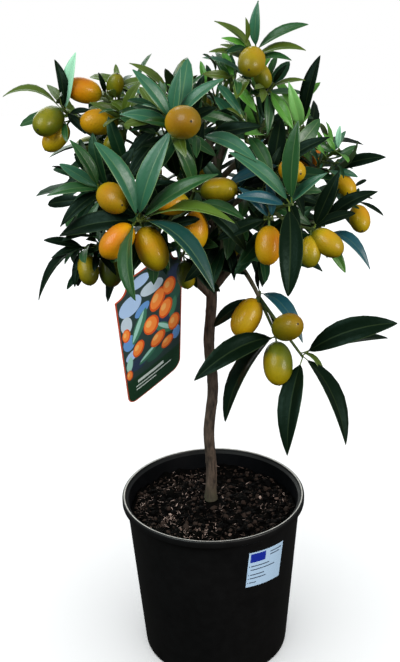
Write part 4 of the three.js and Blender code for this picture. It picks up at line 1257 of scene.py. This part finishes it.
# %% [markdown]
# ## Fruit
#
# A kumquat is an oval a little longer than wide, on a short green stalk with a five-pointed calyx, and ends
# in a small dark dot where the flower fell. It ripens unevenly, so its colour is a mark on its points:
# ripeness, higher on the sunny flank than near the stalk, read by one ramp from green through yellow to
# orange. A second mark, shadow, darkens the far end of some fruit towards brown: painted shade. There are
# only a few dozen fruit, so each can afford to be round and smooth.

# %% Shape of a fruit
FRUIT = {"stalk": 7.0, "stalk_radius": 0.9, "plump": 0.33, "sides": 20, "rings": 14, "square": 2.3,
         "dot": 1.3, "calyx": 3.4, "sunny": 0.18, "green_top": 0.3}


def frame_on(along):
    """Two directions square to a direction and to each other."""
    side = unit(np.cross(SIDEWAYS, along))
    return side, np.cross(along, side)


def calyx_shape(shoulder, along):
    """A thin star of ten rays, every second one short, that sits on the fruit's shoulder."""
    side, other = frame_on(along)
    a = np.linspace(0, 2 * math.pi, 10, endpoint=False)
    pointed = np.arange(10) % 2 == 0
    reach = np.where(pointed, FRUIT["calyx"], 0.45 * FRUIT["calyx"])
    star = (side * np.cos(a)[:, None] + other * np.sin(a)[:, None]) * reach[:, None]
    fall = np.where(pointed, 0.9, 0.5)[:, None] * along
    calyx = tube(np.stack([shoulder + star + fall, shoulder + star * 0.9 + fall - 0.7 * along]),
                 (shoulder + 0.7 * along, shoulder - 0.6 * along), 1, ripeness=0, shadow=0)
    faces = calyx["faces"]                # its rings run towards the stalk, so each face is turned over
    calyx["faces"] = np.where(faces[:, 3:] >= 0, faces[:, ::-1], faces[:, [1, 0, 2, 3]])
    return calyx


def fruit_shape(base, along, length, ripeness, painted_end_shade, seed):
    """Stalk, calyx, body and dot. The body's radius at share s of its length is plump length
    (1 - |2s - 1|^square)^0.5. The mark ripeness grows on the sunny flank and falls towards the stalk, and the
    mark shadow, which paints shade, grows over the far end up to the given amount of painted shade."""
    side, other = frame_on(along)
    a = np.linspace(0, 2 * math.pi, FRUIT["sides"], endpoint=False)
    s = (1 - np.cos(np.linspace(0.12, math.pi - 0.08, FRUIT["rings"]))) / 2
    r = FRUIT["plump"] * length * np.sqrt(1 - np.abs(2 * s - 1) ** FRUIT["square"])
    outward = side * np.cos(a)[:, None] + other * np.sin(a)[:, None]
    shoulder = base + FRUIT["stalk"] * along
    rings = shoulder + (s * length)[:, None, None] * along + r[:, None, None] * outward
    ends = (shoulder + 0.2 * along, shoulder + length * along)
    sunny = unit(0.6 * UP + 0.5 * unit(base - CROWN) + np.random.default_rng(seed).normal(0, 0.4, 3))
    points = np.concatenate([rings.reshape(-1, 3), ends])
    middle = shoulder + 0.5 * length * along
    flank = unit(points - middle) @ sunny
    near_stalk = np.clip(1 - (points - shoulder) @ along / (0.45 * length), 0, 1)
    greener = FRUIT["green_top"] * near_stalk * (1.3 - ripeness)
    ripe = np.clip(ripeness + FRUIT["sunny"] * flank - greener, 0, 1)
    # The far end, where painted shade darkens the skin.
    far_end = np.clip((points - shoulder) @ along / (0.6 * length) - 0.5, 0, 1)
    body = tube(rings, ends, 0, ripeness=ripe, shadow=painted_end_shade * far_end)
    stem_line = bezier(base, base + 0.5 * FRUIT["stalk"] * along + 0.8 * side, shoulder + 0.6 * along)
    stem = tube(limb_rings(stem_line, taper(FRUIT["stalk_radius"], FRUIT["stalk_radius"] * 1.2), 6, 3),
                None, 1, ripeness=0, shadow=0)
    dot = np.stack([ends[1] + FRUIT["dot"] * share * outward[::2] + (height - 0.35) * along
                    for share, height in ((1, 0), (0.7, 0.7))])
    return joined([body, stem, calyx_shape(shoulder, along), tube(dot, None, 2, ripeness=0, shadow=0)])


# %% [markdown]
# ## Growing the crown
#
# The pieces are now placed in order: stems and shoots, then the fruit and the listed leaves, then every
# other leaf that finds room, then the side twigs. The leaves, and apart from them the fruit, are joined into
# one mesh for each side of the plant.

# %% Grow the crown
SIDES = {"front": ("front", "upper_front", "right_front", "inner_front", "sprig"),
         "left": ("left", "lower_left", "upper_left", "back_left"),
         "right": ("right_low", "right_upper", "right_shoulder", "top", "back_right"),
         "back": ("back", "back_low", "back_top")}
SIDE_OF = {mass: side for side, masses in SIDES.items() for mass in masses}
HUB = 0.45                                # how far towards its shoots' tips a mass's stem divides


def make_shoots():
    """The stem of each mass, which leaves its bough's tip the way the bough points, and its shoots."""
    stems, shoots = [], []
    for mass in MASSES:
        line, radius = limbs[mass]
        leaving, start = direction(line, np.array([1.0]))[0], at(line, 1)
        rows = [(k, row) for k, row in enumerate(SHOOTS) if row[0] == mass]
        hub = np.mean([row[1] for _, row in rows], axis=0) * HUB + start * (1 - HUB)
        middle = start + leaving * 0.5 * np.linalg.norm(hub - start)
        stems.append((bezier(start - leaving, middle, hub), taper(radius(1) * 1.02, TWIG["hub"])))
        shoots += [make_shoot(mass, k, hub, row) for k, row in rows]
    return stems, sorted(shoots, key=lambda s: s["index"])


def grow_fruit(shoots, room):
    """The fruit in the shoots' rows, by side of the plant. A shoot's fruit sit one behind the other."""
    fruit = {side: [] for side in SIDES}
    for shoot in shoots:
        for k, (clock, towards, length, ripeness, *painted_end_shade) in enumerate(shoot["row"][6]):
            base = back_from_tip(shoot, 3 + 4 * k)
            seed = 10 * shoot["index"] + k
            body = fruit_shape(base, aimed(base, clock, towards), length, ripeness, sum(painted_end_shade), seed)
            fruit[SIDE_OF[shoot["mass"]]].append(body)
            room.add(body["points"], body["faces"])
    return fruit


def grow_crown():
    """Stems and shoots, then fruit, then leaves in their order. A side twig grows only if a leaf fits."""
    stems, shoots = make_shoots()
    sides, steps = TWIG["sides"], TWIG["steps"]
    thin = taper(TWIG["hub"], TWIG["tip"])
    twigs = [tube(limb_rings(line, radius, sides, steps), None, 1) for line, radius in stems]
    twigs += [tube(limb_rings(shoot["line"], thin, sides, steps), None, 0) for shoot in shoots]
    room = Room()
    for form in [limb_form, *twigs]:
        room.add(form["points"], form["faces"])
    fruit = grow_fruit(shoots, room)
    offered = [leaf for shoot in shoots for leaf in leaves_by_rule(shoot)]
    leaves = [leaf for leaf in offered if leaf["set"]]
    by_hand = len(leaves)
    for leaf in leaves:
        room.add(*leaf_plate(leaf))
    leaves += leaves_with_room([leaf for leaf in offered if not leaf["set"]], room)
    on_shoots = len(leaves)
    for shoot in (s for s in shoots if s["row"][2] > FEW):
        for line, small in side_twigs(shoot):
            kept = leaves_with_room(small, room)
            if kept:
                twigs.append(tube(limb_rings(line, taper(1.1, SIDE["radius"]), 5, 5), None, 0))
                leaves += kept
    print(f"{by_hand} leaves set by hand, {on_shoots} on shoots, {len(leaves)} in all, {len(twigs)} twigs")
    return twigs, leaves, fruit


twigs, leaves, fruit = grow_crown()

# %% [markdown]
# ## Leaf, twig and fruit finishes
#
# A citrus leaf is waxy: a thin clear coat over a deep green mirrors the sky as a blue-green sheen, and the
# teal, blue and slate tints have part of that sheen painted in. The darkest tints, deep and pine, are partly
# painted shade, and they are duller. The underside is matt and dull, fresher on a young leaf, the margin is a
# fine pale line that is partly a painted edge highlight, and the midrib is a shade lighter than the blade.
# Each part of each tint is one plain material, so the colours stay where they belong on every leaf.

# %% Finishes of leaves
WAX = {"Coat_Weight": 0.22, "Coat_Roughness": 0.25, "Coat_IOR": 1.45, "Specular_IOR_Level": 0.4}
DULL_WAX = {"Coat_Weight": 0.04, "Coat_Roughness": 0.3, "Specular_IOR_Level": 0.24,
            "Specular_Tint": (0.5, 1.0, 0.75, 1)}
DULL = {"Specular_IOR_Level": 0.16, "Specular_Tint": (0.35, 0.6, 0.5, 1)}
SHINE = {"deep": DULL, "pine": DULL_WAX}  # and WAX for every other tint
PALE_GREEN = rgb(150, 178, 110)
# The shares of pale green in a rib and in a margin, by tint, and for every other tint. A margin's pale
# line is partly a painted edge highlight.
PALER = {"deep": (0.05, 0.08), "pine": (0.08, 0.14), "blue": (0.12, 0.25), "green": (0.18, 0.32)}
PALER_ELSE = (0.2, 0.5)


def leaf_finishes():
    """For each tint an upper side, a rib and a margin, then stalks, dull undersides and fresh undersides."""
    finishes = []
    for name, tint in TINTS.items():
        wax = SHINE.get(name, WAX)
        finishes.append(plain(f"leaf {name}", tint, smooth=0.3, rough=0.48, grain_scale=260, depth=0.0003,
                              **wax))
        for part, share in zip(("rib", "margin"), PALER.get(name, PALER_ELSE)):
            paler = tuple((1 - share) * c + share * pale for c, pale in zip(tint, PALE_GREEN))
            finishes.append(plain(f"{part} {name}", paler, smooth=0.35, rough=0.5, **wax))
    finishes.append(plain("leaf stalk", rgb(118, 138, 58), smooth=0.4, rough=0.55))
    for name, colour in (("leaf underside", rgb(44, 60, 28)), ("fresh underside", rgb(100, 126, 44))):
        finishes.append(plain(name, colour, smooth=0.5, rough=0.65, grain_scale=300, depth=0.0002))
    return finishes


# %% Finish of the fruit
RIPENING = [(0.0, rgb(54, 70, 10)), (0.3, rgb(104, 110, 10)), (0.55, rgb(192, 162, 8)),
            (0.8, rgb(218, 152, 4)), (1.0, rgb(222, 122, 2))]   # ripeness and colour


def fruit_skin():
    """Ripeness read by a ramp of colour, under a waxy skin pitted with oil glands."""
    material, tree, shader = new_material("fruit skin", Coat_Weight=0.26, Coat_Roughness=0.12,
                                          Specular_IOR_Level=0.26)
    blotch = place_group(tree, MOTTLE, Scale=55, Contrast=0.3).outputs["Height"]
    swing = put(tree, "ShaderNodeMapRange", {"Value": blotch, "To Min": -0.09, "To Max": 0.09}).outputs[0]
    ramp = put(tree, "ShaderNodeValToRGB", {"Fac": worked_out(tree, "ADD", mark(tree, "ripeness"), swing)})
    ramp.color_ramp.elements[0].position = RIPENING[0][0]
    ramp.color_ramp.elements[1].position = RIPENING[-1][0]
    for position, _ in RIPENING[1:-1]:
        ramp.color_ramp.elements.new(position)
    for element, (_, colour) in zip(ramp.color_ramp.elements, RIPENING):
        element.color = (*colour, 1)
    # Painted shade: the skin darkens towards dark brown as the mark shadow rises.
    skin = mix_colours(tree, mark(tree, "shadow"), ramp.outputs["Color"], rgb(40, 34, 8))
    tree.links.new(skin, shader.inputs["Base Color"])
    grain = place_group(tree, GRAIN, Scale=700, Smooth=0.38, Rough=0.5)
    tree.links.new(grain.outputs["Roughness"], shader.inputs["Roughness"])
    bump(tree, shader, grain.outputs["Height"], 0.0004)
    return material


# %% Make leaves, twigs and fruit
leaf_slots = leaf_finishes()
for side, masses in SIDES.items():
    own = joined([leaf_shape(leaf) for leaf in leaves if leaf["mass"] in masses])
    make_piece(f"leaves_{side}", own, leaf_slots, [f"foliage_{mass}" for mass in masses], 50)

twig_slots = [mottled("green twig", rgb(58, 78, 34), rgb(92, 108, 48), 300, smooth=0.5, rough=0.7),
              mottled("woody twig", rgb(58, 54, 38), rgb(92, 84, 62), 300, smooth=0.6, rough=0.8)]
make_piece("twigs", joined(twigs), twig_slots, crease=60)

fruit_slots = [fruit_skin(), plain("calyx", rgb(98, 122, 44), smooth=0.5, rough=0.7),
               plain("flower scar", rgb(48, 40, 22), smooth=0.6, rough=0.8)]
for side, bodies in fruit.items():
    make_piece(f"fruit_{side}", joined(bodies), fruit_slots, crease=50)

# %% [markdown]
# ## The hanging card
#
# The grower's card is thin plastic, printed on both sides and hung by a strap from a ring round a bough. It
# narrows a little towards its foot, and curved shoulders lead to a neck above. Its design is plain: round
# fruit and simple leaves over soft pale patches, with a dark band and a few rules below. Each motif is an
# outline laid on as a thin pad, a little higher than what it overlaps.

# %% Sizes and place of the card
CARD = {"width": 98.0, "height": 190.0, "neck": 64.0, "rise": 22.0, "taper": 0.86, "thick": 0.7,
        "corner": 14.0, "middle": (-62, -60, 500), "across": (0.71, 0.62, 0.33), "down": (-0.02, 0.49, -0.87),
        "warp": 1.0, "straight": 40.0, "margin": 1.5, "band": 44.0, "layer": 0.07, "sunk": 0.05,
        "hang": 0.75, "strap": 1.5, "held": 3.0}
card_upright = unit(-np.array(CARD["down"]))
card_facing = unit(np.cross(CARD["across"], card_upright))
card_across = np.cross(card_upright, card_facing)
print("the card faces", card_facing.round(2))


def card_place(face):
    """Where a point of the print lies, for the front (face 1) or the back (face -1), on a card that narrows
    evenly below its shoulders and curls back by warp (2 across / width)^2."""
    def place(across, up, out):
        x = face * across * (1 - (1 - CARD["taper"]) * np.clip(1 - up / CARD["height"], 0, 1))
        z = face * (CARD["thick"] / 2 + out) - CARD["warp"] * (2 * x / CARD["width"]) ** 2
        return (np.array(CARD["middle"]) + np.multiply.outer(x, card_across)
                + np.multiply.outer(up - CARD["height"], card_upright) + np.multiply.outer(z, card_facing))
    return place


# %% Outline of the card
def card_foot(inset):
    """The lower edge, from the left side to the right, with rounded corners."""
    w, r = CARD["width"] / 2 - inset, CARD["corner"] - inset
    level = [(x, inset) for x in np.linspace(-w + r, w - r, 9)[1:-1]]
    return np.concatenate([arc((-w + r, inset + r), r, 180, 270, 7), level,
                           arc((w - r, inset + r), r, 270, 360, 7)])


def card_head(inset):
    """From the right shoulder over the neck to the left one. Each shoulder is a curve with its hollow out:
    the way across shrinks as (1 - t)^2 while the way up grows as t^2."""
    w, n = CARD["width"] / 2 - inset, CARD["neck"] / 2 - inset
    h, top = CARD["height"] - inset, CARD["height"] + CARD["rise"] - inset
    t = np.linspace(0, 1, 8)
    shoulder = np.stack([n + (w - n) * (1 - t) ** 2, h + (top - h) * t ** 2], -1)
    level = [(x, top) for x in np.linspace(n, -n, 9)[1:-1]]
    return np.concatenate([shoulder, level, shoulder[::-1] * (-1, 1)])


def card_outline():
    """The whole outline, once round from the left foot."""
    w, h = CARD["width"] / 2, CARD["height"]
    right = [(w, y) for y in np.linspace(CARD["straight"], h, 6)[:-1]]
    left = [(-w, y) for y in np.linspace(h, CARD["straight"], 6)[1:]]
    return np.concatenate([card_foot(0), right, card_head(0), left])


# %% The print on the card
# Patches and leaves: kind, centre (across, up from the lower edge), half sizes, turn, ink, layer.
PATCHES = [
    ("oval", (-15, 198), (14, 9), 0, "pale blue", 1), ("oval", (12, 200), (9, 7), 20, "sky blue", 1),
    ("oval", (-30, 170), (16, 15), 10, "pale blue", 1), ("oval", (2, 176), (17, 10), -10, "grey white", 1),
    ("oval", (-14, 152), (12, 8), 30, "sky blue", 1), ("oval", (-38, 144), (8, 14), 5, "grey white", 1),
    ("oval", (36, 172), (10, 13), 0, "night blue", 1), ("oval", (38, 140), (9, 14), 0, "leaf shade", 1),
    ("oval", (-37, 112), (9, 13), 0, "sky blue", 1), ("oval", (-28, 66), (15, 10), -12, "night blue", 1),
    ("oval", (40, 70), (7, 11), 0, "sky blue", 1), ("oval", (4, 60), (16, 8), 8, "leaf shade", 1),
    ("oval", (-34, 88), (11, 8), 20, "pale blue", 1), ("oval", (12, 108), (18, 12), 0, "night blue", 1),
    ("lens", (-20, 128), (26, 8), 64, "leaf print", 2), ("lens", (-22, 129), (23, 3.5), 64, "pale leaf", 3),
    ("lens", (18, 96), (22, 7), -48, "leaf print", 2), ("lens", (20, 97), (19, 3), -48, "pale leaf", 3),
    ("lens", (34, 118), (17, 6), 78, "leaf print", 2), ("lens", (-8, 70), (19, 6), 24, "leaf print", 2),
    ("lens", (-9, 72), (16, 2.6), 24, "pale leaf", 3), ("lens", (-40, 74), (14, 5), 80, "pale leaf", 2),
]
# Its fruit: centre, half sizes and turn. Each is printed in three shades, smaller and paler to the light.
PRINTED_FRUIT = [((10, 150), (12, 17), -22), ((28, 158), (10, 14), 14), ((-2, 116), (12, 16), 12),
                 ((22, 126), (11, 15), -8), ((36, 92), (10, 14), 10), ((8, 84), (13, 11), 30),
                 ((-24, 92), (9, 13), -16), ((-40, 128), (6, 11), 0), ((24, 66), (11, 9), 15),
                 ((-42, 56), (5, 9), 0)]
SHADES = (("red print", 1.0), ("orange print", 0.82), ("pale orange", 0.36))
CARD_RULES = ((34, -30, 16, 2.6), (26, -34, 30, 1.0), (20, -34, 2, 1.0))   # height, ends, half thickness
CARD_INKS = {"dark print": rgb(46, 66, 64), "pale blue": rgb(176, 206, 244), "sky blue": rgb(104, 154, 214),
             "grey white": rgb(196, 214, 228), "night blue": rgb(48, 62, 88), "leaf shade": rgb(48, 92, 78),
             "leaf print": rgb(66, 124, 98), "pale leaf": rgb(160, 212, 198),
             "orange print": rgb(252, 142, 64), "red print": rgb(222, 88, 34),
             "pale orange": rgb(255, 184, 104), "band green": rgb(28, 60, 40), "rule": rgb(214, 226, 220),
             "red edge": rgb(206, 84, 54)}


def ink_number(ink):
    """The number of an ink among the card's finishes."""
    return list(CARD_INKS).index(ink)


def card_grounds(place):
    """The plain grounds of one side: the field, the neck above it and the band at the foot."""
    margin, low = CARD["margin"], CARD["band"]
    half, out = CARD["width"] / 2 - margin, (-CARD["sunk"], CARD["layer"])
    dark = ink_number("dark print")
    head = card_head(margin)
    w, h = head[0]
    neck = np.concatenate([head, [(x, h) for x in np.linspace(-w, w, 13)[1:-1]]])
    foot = np.concatenate([card_foot(margin), [(x, low) for x in np.linspace(half, -half, 14)]])
    return [slab(place, (-half, half), (low, CARD["height"] - margin), out, (24, 24), dark),
            pad(place, neck, out, dark), pad(place, foot, out, ink_number("band green"))]


def card_motifs(place):
    """Patches and leaves, the fruit in three shades each, and the rules, each kind at its own height."""
    layer, sunk = CARD["layer"], -CARD["sunk"]
    parts = []
    for kind, centre, half, turn, ink, level in PATCHES:
        outline = {"oval": oval, "lens": lens}[kind](centre, half, turn)
        parts.append(pad(place, outline, (sunk, layer * (1 + 0.4 * level)), ink_number(ink)))
    for k, (centre, half, turn) in enumerate(PRINTED_FRUIT):
        for step, (ink, share) in enumerate(SHADES):
            moved = np.add(centre, (1 - share) * half[0] * np.array((-0.5, 0.6)))
            outline = oval(moved, np.multiply(half, share), turn)
            parts.append(pad(place, outline, (sunk, layer * (2.6 + 0.4 * step + 0.1 * k)), ink_number(ink)))
    for up, left, right, half in CARD_RULES:
        parts.append(slab(place, (left, right), span(up, half), (sunk, 2 * layer), (16, 1),
                          ink_number("rule")))
    return parts


# %% Make the card
def card_core():
    """The bare film: rings of the outline at even shares, out from the middle behind and back in front."""
    front, outline, middle = card_place(1), card_outline(), np.array([0, CARD["height"] / 2])
    shares = np.linspace(0.2, 1, 5)
    rings = []
    for share, out in [(t, -CARD["thick"]) for t in shares] + [(t, 0.0) for t in shares[::-1]]:
        ring = middle + share * (outline - middle)
        rings.append(front(ring[:, 0], ring[:, 1], np.full(len(ring), out)))
    ends = [front(middle[:1], middle[1:], np.array([out]))[0] for out in (-CARD["thick"], 0.0)]
    return tube(np.stack(rings), ends, ink_number("red edge"))


card_parts = [card_core()]
for place in (card_place(1), card_place(-1)):
    card_parts += card_grounds(place) + card_motifs(place)
card_slots = [plain(name, colour, smooth=0.3, rough=0.42) for name, colour in CARD_INKS.items()]
card = make_piece("card", joined(card_parts), card_slots, ["plant_tag"], crease=40)

# %% Make the card's hanger
RING = {"around": 28, "across": 8, "gap": 1.3, "half_wall": 0.7, "half_width": 3.0}


def make_hanger():
    """The ring round the bough, (bend + wall cos b) spoke(a) + width sin b along, and the strap from it to
    the card."""
    line, radius = limbs["lower_left"]
    centre, along = at(line, CARD["hang"]), direction(line, np.array([CARD["hang"]]))[0]
    neck = np.array(CARD["middle"]) + CARD["held"] * np.array(CARD["down"])
    down = square_to(along, neck - centre)
    other = np.cross(along, down)
    bend = float(radius(CARD["hang"])) + RING["gap"]
    around, across = RING["around"], RING["across"]
    a = np.linspace(0, 2 * math.pi, around, endpoint=False)
    b = np.linspace(0, 2 * math.pi, across, endpoint=False)
    spoke = down * np.cos(a)[:, None] + other * np.sin(a)[:, None]
    section = bend + RING["half_wall"] * np.cos(b)
    sideways = (RING["half_width"] * np.sin(b))[None, :, None] * along
    ring = centre + section[None, :, None] * spoke[:, None] + sideways
    i, j = np.meshgrid(np.arange(around), np.arange(across), indexing="ij")
    ahead, beside = (i + 1) % around, (j + 1) % across
    faces = np.stack([i * across + j, ahead * across + j, ahead * across + beside, i * across + beside], -1)
    start = centre + bend * down
    strap_line = bezier(start, (start + neck) / 2 + 1.5 * other, neck)
    strap = tube(limb_rings(strap_line, taper(CARD["strap"], CARD["strap"]), 8, 10))
    return joined([shape(ring, faces), strap])


make_piece("card_hanger", make_hanger(), [plain("strap plastic", rgb(34, 58, 40), smooth=0.4, rough=0.6)])

# %% [markdown]
# ## Floor, light and camera
#
# The plant stands on a white studio sweep. A warm lamp at the front right draws the shine on the fruit, and a
# large cool one above at the left is what the waxy leaves mirror. A third stands behind, so that the back of
# the crown isn't lost in shade, and a small one lights only the card and the sticker. The sweep has a broad
# light of its own, so it stays white and keeps only a soft shadow at the foot of the pot.

# %% Make the floor
FLOOR = 4.0                               # half the side of the sweep, in metres


def make_floor():
    """A square sweep that other surfaces neither mirror nor take light from."""
    mesh = bpy.data.meshes.new("sweep")
    corners = [(-FLOOR, -FLOOR, 0), (FLOOR, -FLOOR, 0), (FLOOR, FLOOR, 0), (-FLOOR, FLOOR, 0)]
    mesh.from_pydata(corners, [], [(0, 1, 2, 3)])
    paper, _, shader = new_material("white paper", Roughness=0.9, Specular_IOR_Level=0.0)
    shader.inputs["Base Color"].default_value = (0.9, 0.9, 0.9, 1)
    mesh.materials.append(paper)
    sweep = bpy.data.objects.new("sweep", mesh)
    bpy.context.scene.collection.objects.link(sweep)
    sweep.visible_diffuse = False
    sweep.visible_glossy = False
    return sweep


floor = make_floor()


# %% Helpers for light
def make_light(name, kind, energy, colour, place, target, **settings):
    """A lamp at a place in metres, turned to face a target."""
    lamp = bpy.data.lights.new(name, kind)
    lamp.energy = energy
    lamp.color = colour
    for setting, value in settings.items():
        setattr(lamp, setting, value)
    made = bpy.data.objects.new(name, lamp)
    ahead = unit(np.array(target, float) - place)
    right = unit(np.cross(ahead, UP))
    turn = np.stack([right, np.cross(right, ahead), -ahead], -1)
    made.matrix_world = Matrix.Translation(place) @ Matrix(turn.tolist()).to_4x4()
    bpy.context.scene.collection.objects.link(made)
    return made


def round_lamp(name, energy, colour, place, target, size):
    """A round lamp, `size` metres across, whose light is softer the wider it is."""
    return make_light(name, "AREA", energy, colour, place, target, shape="DISK", size=size)


def light_only(lamp, things, state):
    """Limits a lamp to some things (INCLUDE), or keeps it off them (EXCLUDE)."""
    group = bpy.data.collections.new(f"lit by {lamp.name}")
    for thing in things:
        group.objects.link(thing)
    for entry in group.collection_objects:
        entry.light_linking.link_state = state
    lamp.light_linking.receiver_collection = group


def make_world():
    """White where the camera looks past the floor, and for everything else a dim sky, cooler above."""
    world = bpy.data.worlds.new("studio")
    world.use_nodes = True
    tree = world.node_tree
    tree.nodes.clear()
    up = put(tree, "ShaderNodeSeparateXYZ", {0: put(tree, "ShaderNodeTexCoord").outputs["Generated"]})
    share = put(tree, "ShaderNodeMapRange", {"Value": up.outputs["Z"], "From Min": -0.6, "From Max": 0.8})
    sky = mix_colours(tree, share.outputs[0], (0.035, 0.034, 0.03), (0.36, 0.4, 0.41))
    dim = put(tree, "ShaderNodeBackground", {"Color": sky, "Strength": 0.8})
    white = put(tree, "ShaderNodeBackground", {"Color": (1, 1, 1, 1), "Strength": 1.0})
    seen = put(tree, "ShaderNodeLightPath").outputs["Is Camera Ray"]
    both = put(tree, "ShaderNodeMixShader", {0: seen, 1: dim.outputs[0], 2: white.outputs[0]})
    put(tree, "ShaderNodeOutputWorld", {"Surface": both.outputs[0]})
    bpy.context.scene.world = world


# %% Light the plant
WHITE = (1.0, 1.0, 1.0)
CROWN_SPOT = (0.0, 0.0, 0.58)
CARD_SPOT = (-0.06, -0.02, 0.42)

make_world()
key = round_lamp("key", 11.5, (1.0, 0.96, 0.9), (0.95, -0.85, 0.95), CROWN_SPOT, 0.7)
sky = round_lamp("sky", 18.0, (0.9, 1.0, 0.98), (-0.85, -0.75, 1.55), CROWN_SPOT, 1.2)
rear = round_lamp("rear", 12.0, (0.95, 1.0, 0.95), (-0.35, 1.45, 1.1), CROWN_SPOT, 1.4)
wash = make_light("wash", "SUN", 3.5, WHITE, (0.0, -0.4, 2.0), (0, 0, 0), angle=math.radians(95))
near = round_lamp("near", 2.7, WHITE, (0.25, -0.75, 0.2), CARD_SPOT, 0.3)
for lamp in (key, sky, rear):
    light_only(lamp, [floor], "EXCLUDE")
light_only(near, [card, sticker], "INCLUDE")
light_only(wash, [floor], "INCLUDE")
print("lamps", [lamp.name for lamp in (key, sky, rear, wash, near)])

# %% Make the camera
CAMERA = {"place": (-0.0109, -1.0535, 0.8363), "pitch": 21.75, "roll": 1.46, "focal_px": 1000.0,
          "tall_px": 662.0}

camera_data = bpy.data.cameras.new("camera")
camera_data.lens = CAMERA["focal_px"] / CAMERA["tall_px"] * camera_data.sensor_width
camera_data.clip_start = 0.05
camera = bpy.data.objects.new("camera", camera_data)
camera.matrix_world = (Matrix.Translation(CAMERA["place"])
                       @ Matrix.Rotation(math.radians(90 - CAMERA["pitch"]), 4, "X")
                       @ Matrix.Rotation(math.radians(-CAMERA["roll"]), 4, "Z"))
bpy.context.scene.collection.objects.link(camera)
bpy.context.scene.camera = camera
bpy.context.scene.view_settings.view_transform = "Standard"
